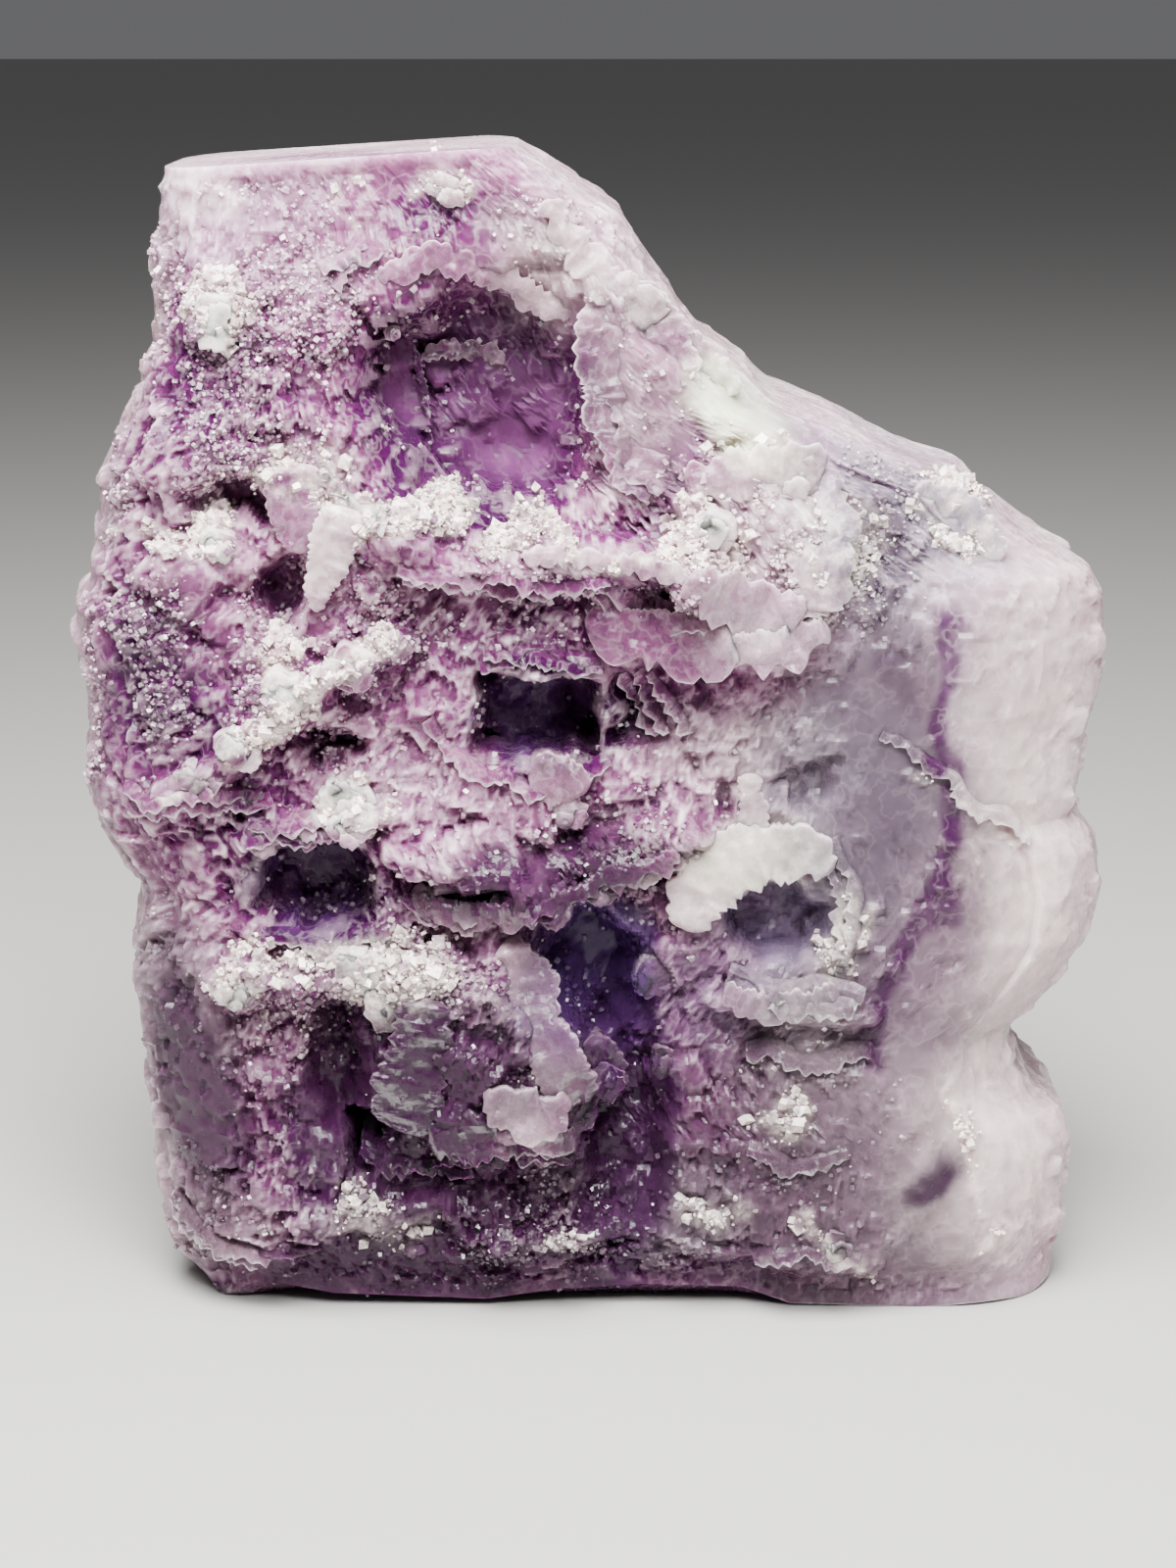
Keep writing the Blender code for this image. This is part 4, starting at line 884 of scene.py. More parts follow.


# Rings of a leaf, from the middle of its face round its thin rim to its root: share of the outline,
# depth as a share of the thickness, painted glow of the edge
LEAF_RINGS = ((0.4, 0.0, 0.0), (0.75, 0.01, 0.0), (0.9, 0.03, 0.1), (0.975, 0.06, 0.7), (1.0, 0.13, 1.0),
    (0.98, 0.4, 0.8), (0.84, 1.0, 0.1))


def leaves(name, middles, wide, high, thick, turns, seed, material, pale):
    """Ragged crystal leaves: each outline is the furthest exit, ray by ray, from a rectangle and a dozen
    small squares set round its rim; rings of that outline are laid from a thick middle to a thin edge."""
    rng = np.random.default_rng(seed)
    count, around = len(middles), 56
    angle = np.arange(around) * 2 * math.pi / around
    rays = np.cos(angle)[None], np.sin(angle)[None]
    full = leave_square(rays, 0, 0, 0, wide[:, None] / 2, high[:, None] / 2)
    outline = 0.76 * full
    for _ in range(12):
        phi = rng.random(count) * 2 * math.pi
        cx, cz = np.cos(phi) * wide * 0.33, np.sin(phi) * high * 0.33
        half = np.minimum(wide, high) * rng.uniform(0.1, 0.24, count)
        turn = rng.choice((0.0, 0.785), count) + 0.12 * rng.standard_normal(count)
        outline = np.maximum(outline,
            leave_square(rays, cx[:, None], cz[:, None], turn[:, None], half[:, None], half[:, None]))
    outline = np.minimum(outline, full * 1.02)
    share, depth, glow = np.array(LEAF_RINGS).T
    lx = outline[:, None, :] * rays[0][:, None] * share[None, :, None]
    lz = outline[:, None, :] * rays[1][:, None] * share[None, :, None]
    bow = rng.uniform(-0.25, 0.35, (count, 1, 1))
    ly = thick[:, None, None] * depth[None, :, None] + bow * (lx * 2 / wide[:, None, None]) ** 2
    seedy = np.stack([lx + 40.0 * np.arange(count)[:, None, None], lz, 0 * lz], axis=-1).reshape(-1, 3)
    rub = noise(seedy, 1.1, 61).reshape(lx.shape) * 0.18 * (share < 0.97)[None, :, None]
    ly = ly + rub
    ends = np.stack([np.zeros(count), np.zeros(count)], axis=1), np.stack([0 * thick, thick], axis=1)
    local = np.stack([lx, ly, lz], axis=-1).reshape(count, -1, 3)
    poles = np.stack([ends[0], ends[1], ends[0]], axis=-1)
    local = np.concatenate([local, poles], axis=1)
    points = np.einsum("nij,nkj->nki", turns, local) + middles[:, None, :]
    rings = len(share)
    index = np.arange(rings * around).reshape(rings, around)
    nxt = np.roll(index, -1, axis=1)
    skin = np.stack([index[:-1], index[1:], nxt[1:], nxt[:-1]], axis=-1).reshape(-1, 4)
    face = np.stack([np.full(around, rings * around), index[0], nxt[0]], axis=-1)
    root = np.stack([np.full(around, rings * around + 1), nxt[-1], index[-1]], axis=-1)
    step = np.arange(count)[:, None, None] * (rings * around + 2)
    faces = [(skin[None] + step).reshape(-1, 4), (np.concatenate([face, root])[None] + step).reshape(-1, 3)]
    flat = points.reshape(-1, 3)
    warp = 0.5 * rng.standard_normal((count, 1, 2)) + np.zeros((1, rings * around + 2, 1))
    at = tints_at(flat[:, 0], flat[:, 2], np.ones(len(flat)), warp.reshape(-1, 2))
    # painted pale glow along each leaf's thin edge
    edge = np.concatenate([np.repeat(glow, around), [0.0, 0.0]])
    at["crest"] = (rng.uniform(0.55, 1.0, (count, 1)) * edge[None]).reshape(-1)
    at["pit"] = np.zeros(len(flat))
    tone = np.repeat(rng.normal(pale, 0.1, count), rings * around + 2)
    at["purple"] = np.clip(at["purple"] * 0.8 - tone, 0, 1)
    at["milk"] = np.clip(at["milk"] + tone, 0, 1)
    return put_mesh(name, flat, faces, at, material)


# Section of a hem from its buried top, down its face to the thin lip and back to its buried root:
# way down as a share of the size, way down as a share of the tooth, way out in mm, painted glow of the lip
HEM_RINGS = ((-0.8, 0.0, -1.0, 0.0), (-0.35, 0.0, 0.0, 0.0), (0.0, 0.35, 0.2, 0.15), (0.0, 0.85, 0.26, 0.6),
    (0.0, 1.0, 0.2, 1.0), (0.0, 0.96, 0.04, 0.9), (0.0, 0.3, -0.25, 0.2), (-0.3, 0.0, -1.1, 0.0))


def hems(name, front_y, seed, material):
    """Thin hems that hang along the rims: a lens-like section swept along each line of RIMS, its
    length following a row of right-angled teeth, row above row."""
    rng = np.random.default_rng(seed)
    share, tooth, out, glow = np.array(HEM_RINGS).T
    around = len(share)
    tubes, all_points, edges = [], [], []
    start = 0
    for line, rows, size in RIMS:
        line = np.array(line, float)
        run, t = steps_along(line, 0.2, 8)
        count = len(t)
        for row in range(rows):
            place = np.stack([t, np.full(count, 7.0 * row + seed), 0 * t + start * 0.01], axis=1)
            x = np.interp(t, run, line[:, 0]) + 0.7 * noise(place, 2.2, 91)
            z = np.interp(t, run, line[:, 1]) + 0.7 * noise(place, 2.0, 92)
            dx, dz = sideways(x, z)
            pitch = size * 0.62
            x, z = x - dx * row * pitch, z - dz * row * pitch
            spots = np.arange(-pitch, run[-1] + pitch, pitch)
            spots = spots + rng.uniform(-0.45, 0.45, len(spots)) * pitch
            peaks = size * rng.uniform(0.2, 0.75, len(spots))
            length = np.max(peaks[None] - np.abs(t[:, None] - spots[None]), axis=1)
            length = np.maximum(length, -0.1 * size)
            fade = np.sin(np.pi * np.clip((np.arange(count) + 0.5) / count, 0, 1)) ** 0.35
            length = length * fade
            y = read_map(front_y, x + dx * length * 0.3, z + dz * length * 0.3)
            y = evened(y, 5) - 0.15 * rng.random() - 0.15
            down = share[None] * size + tooth[None] * length[:, None]
            ring = np.tile(np.arange(around), count) * 0.35
            crinkle = np.stack([np.repeat(t, around), ring, np.full(count * around, start * 0.37)], axis=1)
            uneven = 0.2 * noise(crinkle, 0.55, 93).reshape(count, around)
            forth = out[None] * (0.4 + 0.6 * fade[:, None]) + uneven * (out > -0.5)[None]
            x, y, z, dx, dz = (v[:, None] for v in (x, y, z, dx, dz))
            points = np.stack([x + dx * down, y - forth, z + dz * down], axis=-1)
            tubes.append(swept(start, count, around))
            all_points.append(points.reshape(-1, 3))
            edges.append(np.tile(glow, count) * rng.uniform(0.6, 1.0))
            start += count * around
    points = np.concatenate(all_points)
    at = tints_at(points[:, 0], points[:, 2], np.ones(len(points)), np.zeros((len(points), 2)))
    # painted pale glow along each hem's lip
    at["crest"] = np.concatenate(edges)
    at["pit"] = np.zeros(len(points))
    return put_mesh(name, points, [np.concatenate(part) for part in zip(*tubes)], at, material)


def teeth(rng, t, deep):
    """Ragged rim along t: the highest of many right-angled peaks, each falling off as steeply as it
    is wide."""
    pitch = max(deep, 0.3) * 1.7
    spots = np.arange(-pitch, t[-1] + pitch, pitch)
    spots = spots + rng.uniform(-0.4, 0.4, len(spots)) * pitch
    peaks = deep * rng.uniform(0.3, 1.4, len(spots))
    return np.clip(np.max(peaks[None] - np.abs(t[:, None] - spots[None]), axis=1), -0.3 * deep, 0.8 * deep)


# Section of a lobe, from its buried left root over its face to its buried right root: side from -1
# to 1, height as a share of the thickness, painted glow of the rim
LOBE_SIDE = (
    -0.7, -0.93, -1.0, -0.985, -0.94, -0.8, -0.55, -0.2, 0.2, 0.55, 0.8, 0.94, 0.985, 1.0, 0.93, 0.7,
)
LOBE_RISE = (-1.6, 0.0, 0.5, 0.74, 0.82, 0.92, 0.98, 1.0, 1.0, 0.98, 0.92, 0.82, 0.74, 0.5, 0.0, -1.6)
LOBE_GLOW = (0.0, 0.2, 1.0, 0.9, 0.25, 0.0, 0.0, 0.0, 0.0, 0.0, 0.0, 0.25, 0.9, 1.0, 0.2, 0.0)


def lobes(name, front_y, seed, material):
    """Thick tongues and skirts: a low flat-topped section swept along each path of LOBES, its half
    width read along the path and notched by teeth, its face lifted off the stone behind it."""
    rng = np.random.default_rng(seed)
    side, rise, glow = np.array(LOBE_SIDE), np.array(LOBE_RISE), np.array(LOBE_GLOW)
    around = len(side)
    tubes, all_points, edges, tones = [], [], [], []
    start = 0
    for path, thick, lift, left, right, pale in LOBES.values():
        line = np.array(path)
        run, t = steps_along(line, 0.14, 6)
        count = len(t)
        place = np.stack([t, np.full(count, float(start)), 0 * t], axis=1)
        x = np.interp(t, run, line[:, 0])
        z = np.interp(t, run, line[:, 1])
        x, z = (evened(v, 8, mode="reflect", reflect_type="odd") for v in (x, z))
        x = x + 0.25 * noise(place, 1.6, 95)
        z = z + 0.25 * noise(place, 1.7, 96)
        dx, dz = sideways(x, z)
        ends = np.sqrt(np.clip(1 - (1 - np.minimum(t, run[-1] - t) / 0.7).clip(0, 1) ** 2, 0.03, 1))
        half = np.interp(t, run, line[:, 2])
        wide = []
        for k, depth in ((0, left), (50, right)):
            wavy = half * (1 + 0.25 * noise(place + k, 3.2, 89)) + 0.3 * noise(place + k, 0.9, 88) * depth
            wide.append(np.maximum(wavy + teeth(rng, t, depth), 0.2) * ends)
        notched = np.where(side[None] < 0, wide[0][:, None], wide[1][:, None])
        across = np.where(np.abs(side[None]) > 0.9, notched,
            np.minimum(notched, (half * ends)[:, None])) * side[None]
        behind = [read_map(front_y, x + dx * k * half, z + dz * k * half) for k in (-0.7, 0, 0.7)]
        behind = np.mean(behind, axis=0)
        behind = evened(behind, 20)
        other = np.full(count * around, start * 0.37)
        grid = np.stack([np.repeat(t, around), across.reshape(-1), other], axis=1)
        rub = 0.3 * noise(grid, 2.2, 97) + 0.16 * noise(grid, 0.7, 98) - 0.4 * np.abs(noise(grid, 1.3, 99))
        out = lift * ends[:, None] + thick * (rise[None] - 1) * np.where(rise > 0, 1, 1.4)[None]
        out = out + rub.reshape(count, around) * (rise > 0.3)[None]
        x, y, z, dx, dz = (v[:, None] for v in (x, behind, z, dx, dz))
        points = np.stack([x + dx * across, y - out, z + dz * across], axis=-1)
        tubes.append(swept(start, count, around))
        all_points.append(points.reshape(-1, 3))
        # painted pale glow on the lobe's rims and thin tips
        tips = 0.7 * (1 - np.repeat(ends, around))
        edges.append(np.maximum(np.tile(glow, count), tips) * rng.uniform(0.75, 1.0))
        tones.append(np.full(count * around, pale))
        start += count * around
    points = np.concatenate(all_points)
    at = tints_at(points[:, 0], points[:, 2], np.ones(len(points)), np.zeros((len(points), 2)))
    tone = np.concatenate(tones)
    uneven = 1.0 + 0.7 * noise(points, 2.0, 94)
    at["purple"] = np.clip(at["purple"] * 0.85 - 0.8 * tone * uneven, 0, 1)
    at["milk"] = np.clip(at["milk"] * (tone > -0.1) + np.maximum(tone, 0) * 1.2 * uneven, 0, 1)
    at["ash"] = at["ash"] * np.where(tone > -0.1, 1.0, 0.2)
    # painted shade, less on pale lobes and more on dark ones, so it also carries their own dark tone
    at["shade"] = np.clip(at["shade"] - 1.5 * tone, 0, 1)
    at["white"] = at["white"] * smooth(-0.4, 0.4, noise(points, 1.1, 90))
    at["indigo"] = at["indigo"] * 0.3
    at["crest"] = np.concatenate(edges)
    at["pit"] = np.zeros(len(points))
    return put_mesh(name, points, [np.concatenate(part) for part in zip(*tubes)], at, material)


# Corners of a box, and the corners of each of its faces
CUBE_SIGNS = np.array(
    [[x, y, z] for z in (-1, 1) for x, y in ((-1, -1), (1, -1), (1, 1), (-1, 1))], float
)
CUBE_FACES = np.array([[0, 3, 2, 1], [4, 5, 6, 7], [0, 1, 5, 4], [1, 2, 6, 5], [2, 3, 7, 6], [3, 0, 4, 7]])


# Number of purple sugar cubes and of white grains
SUGAR_COUNT = 13000
CRUST_COUNT = 14000


def grains(name, centres, halves, turns, squash, tints, material):
    """Many small rough boxes at once, each corner pushed in or out a little so none is quite square."""
    rng = np.random.default_rng(len(centres))
    local = CUBE_SIGNS[None] * halves[:, None, :]
    local = local * (1.0 + squash * (rng.random((len(centres), 8, 1)) - 0.5))
    points = np.einsum("nij,nkj->nki", turns, local) + centres[:, None, :]
    step = np.arange(len(centres))[:, None, None] * 8
    full = {key: np.repeat(value, 8) for key, value in tints.items()}
    return put_mesh(name, points.reshape(-1, 3), [(CUBE_FACES[None] + step).reshape(-1, 4)], full, material)


def picked(rng, count, weight):
    """Grid points drawn by weight."""
    total = np.cumsum(weight.reshape(-1))
    return np.searchsorted(total, rng.random(count) * total[-1])


def grown_turns(normals, points, rng, loose):
    """Turning matrices whose axes follow the patch that each point is in, shaken by loose."""
    patch = np.floor(points / CUBE_PATCH).astype(np.int64)
    face, a, b = turned_axes(normals, patch, rng.random((len(points), 3)))
    face = face + loose * rng.standard_normal(face.shape)
    face /= np.linalg.norm(face, axis=1)[:, None]
    a = a + loose * rng.standard_normal(a.shape)
    a = a - face * np.einsum("ij,ij->i", a, face)[:, None]
    a /= np.linalg.norm(a, axis=1)[:, None]
    return np.stack([a, np.cross(face, a), face], axis=-1)


# --- finish -----------------------------------------------------------------
def node(tree, kind, settings, *inputs, out=0):
    """Adds a node and gives one of its outputs. Settings go on its properties, or on its sockets by
    name, and inputs on its open sockets in order: each is a plain value or another node's output."""
    made = tree.nodes.new("ShaderNode" + kind)
    given = []
    for key, value in settings.items():
        if hasattr(made, key):
            setattr(made, key, value)
        else:
            given.append((made.inputs[key], value))
    given += zip([socket for socket in made.inputs if socket.enabled], inputs)
    for socket, value in given:
        if isinstance(value, bpy.types.NodeSocket):
            tree.links.new(value, socket)
        else:
            socket.default_value = value
    return made.outputs[out]


PLUS, MINUS, TIMES = {"operation": "ADD"}, {"operation": "SUBTRACT"}, {"operation": "MULTIPLY"}
HIGHER, LOWER, POSITIVE = {"operation": "MAXIMUM"}, {"operation": "MINIMUM"}, {"operation": "ABSOLUTE"}
# The same, held from 0 to 1
MINUS_HELD, TIMES_HELD = {**MINUS, "use_clamp": True}, {**TIMES, "use_clamp": True}
OVER = {"data_type": "RGBA", "blend_type": "MIX"}
# Purple from the palest to the deepest zone
PURPLES = (
    (0.0, "#BEA9B0"), (0.22, "#947389"), (0.42, "#754466"),
    (0.62, "#57214D"), (0.82, "#3F0B3C"), (1.0, "#2F0630"),
)
# Zones of other colours: stored strength, share and shift of the colour clouds in it, colour
ZONES = (
    ("ash", 1.0, 0.45, "#81777C"), ("milk", 0.9, 0.4, "#CDBCB8"), ("green", 1.0, 0.3, "#D0D4BA"),
    ("slate", 1.0, 0.2, "#6E6C78"), ("vein", 1.0, 0.45, "#431E44"),
)
# Sizes of the soft noises, per metre, with detail and roughness: clouds of colour 3 mm across, specks
# 0.6 mm across, broad drifts 9 mm across, and pale ribs, painted highlight lines, that wander where a
# noise 2 mm across crosses its middle
NOISES = ((320.0, 3.0, 0.65), (1500.0, 2.0, 0.7), (110.0, 0.0, 0.5), (480.0, 2.0, 0.6))
# Tiny crystal facets that each face their own way, per metre: drawn 0.5 mm wide, as coarse as shows
FACETS = 2000.0


def fluorite(name, frosted=0.0, bump=1.0, clear=0.0, soft=1.0, sparkle=0.3, depth=0.004, gloss=0.24):
    """Natural fluorite, cleaved and grown: a glassy halide with weak gloss, purple in zones and milky
    where it is full of tiny cleavage cracks. Thin edges and crests get a painted pale glow for the light
    that leaks through them, creases and pits get painted shade that goes nearly black, and sugary crust
    scatters white."""
    material = bpy.data.materials.new(name)
    material.use_nodes = True
    tree = material.node_tree
    shader = tree.nodes["Principled BSDF"]
    add = partial(node, tree)
    place = add("TexCoord", {}, out="Object")
    cloud, speck, broad, wander = (
        add("TexNoise", {"Scale": scale, "Detail": detail, "Roughness": rough, "Vector": place})
        for scale, detail, rough in NOISES
    )
    facets = add("TexVoronoi", {"Scale": FACETS, "Randomness": 1.0, "Vector": place}, out="Color")
    stored = ["purple", "crest", "pit", "white", "calm", "indigo", "shade"] + [zone[0] for zone in ZONES]
    kept = {key: add("Attribute", {"attribute_name": key}, out="Fac") for key in stored}
    crest, pit, white = kept["crest"], kept["pit"], kept["white"]
    broken = add("Math", MINUS, 1.0, add("Math", TIMES, kept["calm"], 0.85))

    # purple zones, stirred by the clouds, the drifts and the facets, and thinner on edges and crests, where
    # the painted highlight lies
    grainy = add("Math", TIMES, add("Math", MINUS, add("SeparateColor", {}, facets), 0.5), broken)
    purple = kept["purple"]
    for stir, share in ((cloud, 0.6), (broad, 0.7)):
        purple = add("Math", PLUS, purple, add("Math", TIMES, add("Math", MINUS, stir, 0.5), share))
    purple = add("Math", PLUS, purple, add("Math", TIMES, grainy, 0.14))
    purple = add("Math", MINUS_HELD, purple, add("Math", TIMES, crest, 0.12))
    colour = add("ValToRGB", {}, purple)
    ramp = colour.node.color_ramp.elements
    while len(ramp) < len(PURPLES):
        ramp.new(0.5)
    for mark, (at, code) in zip(ramp, PURPLES):
        mark.position, mark.color = at, hex_linear(code)

    # each coat lies over the one before: mix, how much, colour
    coats = []
    for key, share, shift, code in ZONES:
        patchy = add("Math", PLUS, add("Math", TIMES, cloud, share), shift)
        coats.append((OVER, add("Math", TIMES_HELD, kept[key], patchy), code))
    # painted shade: creases darkened where the relief sinks below its surroundings
    recess_shade = add("Math", MINUS, 0.0, add("Math", LOWER, crest, 0.0))
    coats.append(({**OVER, "blend_type": "MULTIPLY"}, add("Math", TIMES, recess_shade, 0.12), "#6A3A70"))
    # painted highlight: crests, flake rims and thin edges lit pale, dappled by the specks, and the
    # wandering ribs drawn as pale highlight lines
    away = add("Math", TIMES, add("Math", POSITIVE, add("Math", MINUS, wander, 0.5)), 22.0)
    ribs = add("Math", MINUS_HELD, 1.0, away)
    raised = add("Math", HIGHER, add("Math", MINUS, crest, 0.12), 0.0)
    lit = add("Math", TIMES_HELD, raised, add("Math", PLUS, speck, 0.25))
    coats.append((OVER, add("Math", HIGHER, lit, add("Math", TIMES, ribs, 0.13)), "#EFDADF"))
    patchy = add("Math", MINUS, add("Math", TIMES, speck, 2.6), 0.55)
    coats.append((OVER, add("Math", TIMES_HELD, white, patchy), "#FDF0E5"))
    # painted shade in crevices and deep pockets
    coats.append((OVER, pit, "#6B3766"))
    coats.append((OVER, kept["indigo"], "#4B2B68"))
    # painted shade from the shade strength, held off the white crust
    unlit = add("Math", MINUS, 0.95, add("Math", TIMES, white, 0.6))
    coats.append((OVER, add("Math", TIMES_HELD, kept["shade"], unlit), "#290D27"))
    for how, share, code in coats:
        colour = add("Mix", how, share, colour, hex_linear(code), out=2)
    tree.links.new(colour, shader.inputs["Base Color"])

    rough = add("Math", PLUS, add("Math", TIMES, speck, 0.3), 0.08 + 0.25 * frosted)
    rough = add("Math", PLUS, rough, add("Math", TIMES, pit, 0.25))
    tree.links.new(rough, shader.inputs["Roughness"])
    # facets that each face their own way under frost 0.6 mm across
    lean = add("VectorMath", MINUS, facets, (0.5, 0.5, 0.5))
    lean = add("VectorMath", {"operation": "SCALE"}, lean, add("Math", TIMES, broken, sparkle))
    turned = add("VectorMath", PLUS, add("NewGeometry", {}, out="Normal"), lean)
    turned = add("VectorMath", {"operation": "NORMALIZE"}, turned)
    if bump:
        frost = {"Strength": 0.4 * bump, "Distance": 0.0003, "Height": add("Math", TIMES, speck, broken)}
        turned = add("Bump", {**frost, "Normal": turned})
    tree.links.new(turned, shader.inputs["Normal"])
    shader.inputs["IOR"].default_value = 1.434
    shader.inputs["Transmission Weight"].default_value = clear
    shader.inputs["Subsurface Weight"].default_value = soft
    shader.inputs["Subsurface Radius"].default_value = (1.0, 0.9, 0.98)
    shader.inputs["Subsurface Scale"].default_value = depth
    shader.inputs["Specular IOR Level"].default_value = gloss
    return material


def front_depth(points):
    """Map of the foremost y of the stone at each x, z, with gaps filled from their neighbours."""
    grid = np.full((len(MAP_Z), len(MAP_X)), 99.0)
    i = np.clip(np.round((points[:, 2] - MAP_Z[0]) / MAP_STEP).astype(int), 0, len(MAP_Z) - 1)
    j = np.clip(np.round((points[:, 0] - MAP_X[0]) / MAP_STEP).astype(int), 0, len(MAP_X) - 1)
    np.minimum.at(grid, (i, j), points[:, 1])
    for _ in range(3):
        grid = np.minimum.reduce([grid] + [np.roll(grid, s, axis=k) for s in (-1, 1) for k in (0, 1)])
    return np.where(grid > 90, 0.0, grid)


def build():
    """Every piece of the cluster."""
    stone = fluorite("purple_fluorite_natural")
    plate = fluorite("purple_fluorite_plates", frosted=0.1, bump=0.6, clear=0.15, depth=0.002, gloss=0.26)
    druse = fluorite("purple_fluorite_sugar", bump=0.0, soft=0.0, sparkle=0.05, gloss=0.9)
    crust = fluorite("white_fluorite_crust", frosted=0.1, bump=0.0, soft=0.0, sparkle=0.1, gloss=1.0)

    grid, face, front, tint = stone_surface()
    rows, around = grid.shape[:2]
    index = np.arange(rows * around).reshape(rows, around)
    right = np.roll(index, -1, axis=1)
    skin = np.stack([index[:-1], right[:-1], right[1:], index[1:]], axis=-1).reshape(-1, 4)
    poles = np.stack([grid[0].mean(axis=0), grid[-1].mean(axis=0)])
    foot = np.stack([np.full(around, rows * around), right[0], index[0]], axis=-1)
    head = np.stack([np.full(around, rows * around + 1), index[-1], right[-1]], axis=-1)
    points = np.concatenate([grid.reshape(-1, 3), poles])
    full = {key: np.concatenate([value, value[:1], value[-1:]]) for key, value in tint.items()}
    faces = [skin, np.concatenate([foot, head])]
    body = put_mesh("stone", points, faces, full, stone, smooth_angle=22, flat=False)
    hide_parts("fluorite_cluster")

    p, n = grid.reshape(-1, 3), face.reshape(-1, 3)
    facing = front.reshape(-1)
    front_y = front_depth(p[facing > 0.2])
    du = np.linalg.norm(np.roll(grid, -1, axis=1) - grid, axis=2)
    dv = np.linalg.norm(np.roll(grid, -1, axis=0) - grid, axis=2)
    area = np.minimum(du * dv, 0.6).reshape(-1)

    # the named plates, each a leaf with two smaller ones stepped on its face
    rng = np.random.default_rng(11)
    x, y, z, w, h, t, spin, nod, swing = np.array(list(PLATES.values()), float).T
    round_it = [(dx, dz) for dx in (-0.3, 0, 0.3) for dz in (-0.3, 0, 0.3)]
    behind = np.median([read_map(front_y, x + dx * w, z + dz * h) for dx, dz in round_it], axis=0)
    clear_y = np.clip(behind + 0.3, y - 3.0, y + 1.0)
    made = []
    for layer in range(3):
        spin_off = (layer > 0) * 12 * rng.standard_normal(len(x))
        nod_off = (layer > 0) * 5 * rng.standard_normal(len(x))
        turn = rows_turned(spin + spin_off, nod + nod_off, swing)
        share = np.ones((2, len(x))) if layer == 0 else rng.uniform(0.42, 0.75, (2, len(x)))
        reach = np.stack([w * (1 - share[0]), h * (1 - share[1])]) / 2 * rng.uniform(-1.1, 1.1, (2, len(x)))
        shift = np.stack([reach[0], -0.3 - 0.5 * layer * rng.random(len(x)), reach[1]], axis=1)
        middle = np.stack([x, clear_y, z], axis=1) + np.einsum("nij,nj->ni", turn, shift)
        thick = np.maximum(t, 2.4) * (1 if layer == 0 else 0.5)
        made.append((middle, w * share[0], h * share[1], thick, turn))
    leaves("leaves", *(np.concatenate(part) for part in zip(*made)), 21, plate, 0.12)
    hems("hems", front_y, 12, plate)
    lobes("lobes", front_y, 15, plate)

    # purple sugar: cubes 0.1 to 0.5 mm across, sunk into the stone
    rng = np.random.default_rng(13)
    dusting = 0.1 * facing * smooth(14.0, 4.0, p[:, 0])
    weight = area * (tint["sugar"] * np.clip(1.1 - tint["pit"], 0.1, 1) + dusting) * (facing > 0.05)
    weight = weight * np.clip(0.4 + 1.3 * noise(p, 4.0, 31), 0.03, 1) * (p[:, 2] < 87.5)
    where = picked(rng, SUGAR_COUNT, weight)
    half = (0.07 + 0.13 * rng.random(len(where)) ** 2)[:, None] * rng.uniform(0.7, 1.2, (len(where), 3))
    at = {key: value[where] for key, value in tint.items()}
    # painted glints: a random share of the cubes lit pale
    at["crest"] = np.clip(rng.normal(0.35, 0.4, len(where)), 0, 1)
    at["purple"] = np.clip(at["purple"] + 0.12 * rng.standard_normal(len(where)), 0, 1)
    spot = p[where] + n[where] * (half.mean(axis=1) * 0.2)[:, None]
    spot = spot + 0.08 * rng.standard_normal((len(where), 3))
    grains("sugar_cubes", spot, half, grown_turns(n[where], p[where], rng, 0.35), 0.3, at, druse)

    # white crust: heaped grains 0.1 to 1 mm across on the ledges and blobs
    rng = np.random.default_rng(14)
    upward = np.clip(n[:, 2] * 1.5 + 0.05, 0.04, 1)
    weight = area * np.clip(tint["white"], 0, 1) ** 1.2 * upward * (facing > 0.05)
    where = picked(rng, CRUST_COUNT, weight)
    half = 0.06 + 0.13 * rng.random(len(where)) ** 2 + 0.22 * (rng.random(len(where)) > 0.93)
    half = half[:, None] * rng.uniform(0.7, 1.25, (len(where), 3))
    at = {key: value[where] for key, value in tint.items()}
    at["white"] = np.clip(rng.normal(0.8, 0.35, len(where)), 0.1, 1)
    at["crest"] = np.zeros(len(where))
    at["pit"] = np.zeros(len(where))
    heap = rng.random(len(where)) ** 2.5
    spot = p[where] + n[where] * heap[:, None] * 0.6 + 0.14 * rng.standard_normal((len(where), 3))
    grains("white_crust", spot, half, grown_turns(n[where], p[where], rng, 0.9), 0.5, at, crust)


def light(name, place, size, watts, aim=(0.0, 0.0, 0.045)):
    """A square soft light that faces a point."""
    lamp = bpy.data.lights.new(name, "AREA")
    lamp.shape = "SQUARE"
    lamp.size = size
    lamp.energy = watts
    thing = bpy.data.objects.new(name, lamp)
    thing.location = place
    thing.rotation_euler = (Vector(aim) - Vector(place)).to_track_quat("-Z", "Y").to_euler()
    bpy.context.scene.collection.objects.link(thing)


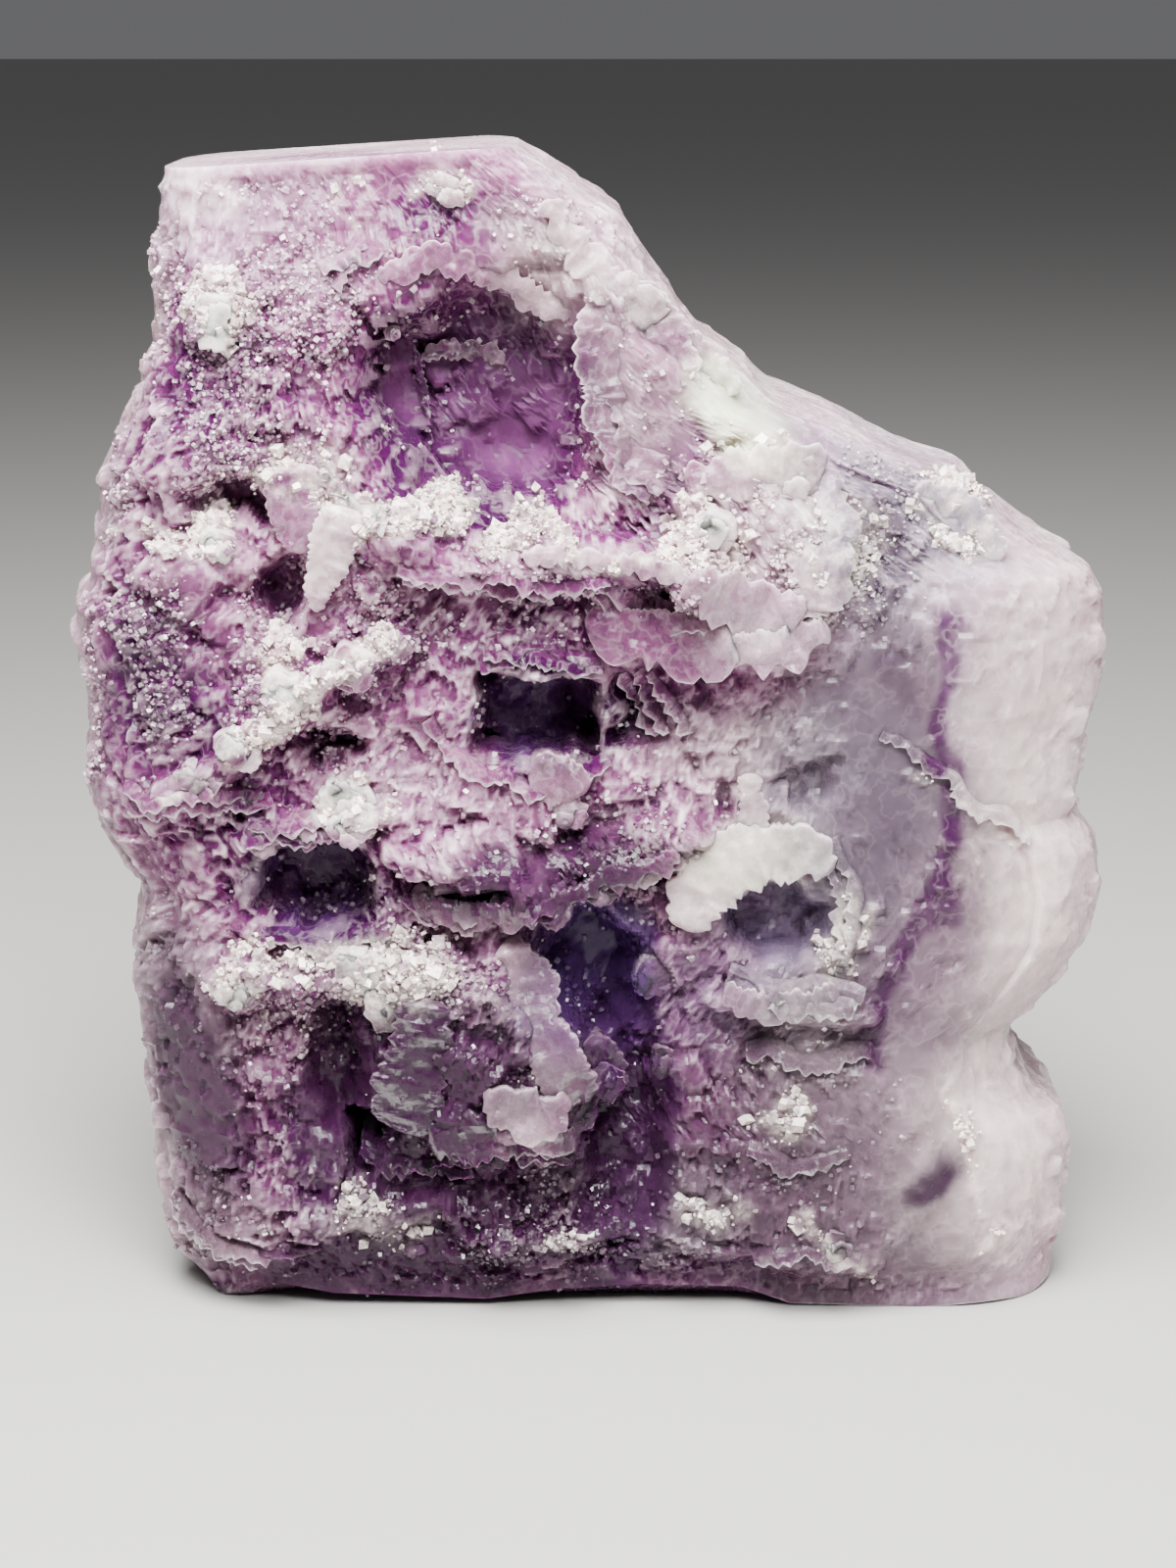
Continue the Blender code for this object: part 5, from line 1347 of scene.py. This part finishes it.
def room():
    """Pale floor, soft light from above and in front, and the camera a little above the stone."""
    mesh = bpy.data.meshes.new("floor")
    mesh.from_pydata([(-4, -3, 0), (4, -3, 0), (4, 6, 0), (-4, 6, 0)], [], [(0, 1, 2, 3)])
    floor = bpy.data.objects.new("floor", mesh)
    bpy.context.scene.collection.objects.link(floor)
    pale = bpy.data.materials.new("pale_board")
    pale.use_nodes = True
    pale.node_tree.nodes["Principled BSDF"].inputs["Base Color"].default_value = hex_linear("#A5A3A1")
    pale.node_tree.nodes["Principled BSDF"].inputs["Roughness"].default_value = 0.7
    mesh.materials.append(pale)
    world = bpy.data.worlds.new("studio")
    world.use_nodes = True
    world.node_tree.nodes["Background"].inputs["Color"].default_value = hex_linear("#D9D9DC")
    world.node_tree.nodes["Background"].inputs["Strength"].default_value = 0.2
    bpy.context.scene.world = world
    light("overhead", (-0.03, -0.12, 0.3), 0.2, 4.6)
    light("front_above", (0.03, -0.38, 0.45), 0.3, 9.4)
    eye = bpy.data.cameras.new("eye")
    eye.lens = 85
    eye.sensor_width = 36
    eye.clip_start = 0.01
    camera = bpy.data.objects.new("eye", eye)
    camera.location = (-MIDDLE_X * MM, -0.292 - MIDDLE_Y * MM, 0.101)
    camera.rotation_euler = (math.radians(90 - 12), 0.0, 0.0)
    bpy.context.scene.collection.objects.link(camera)
    bpy.context.scene.camera = camera


build()
room()
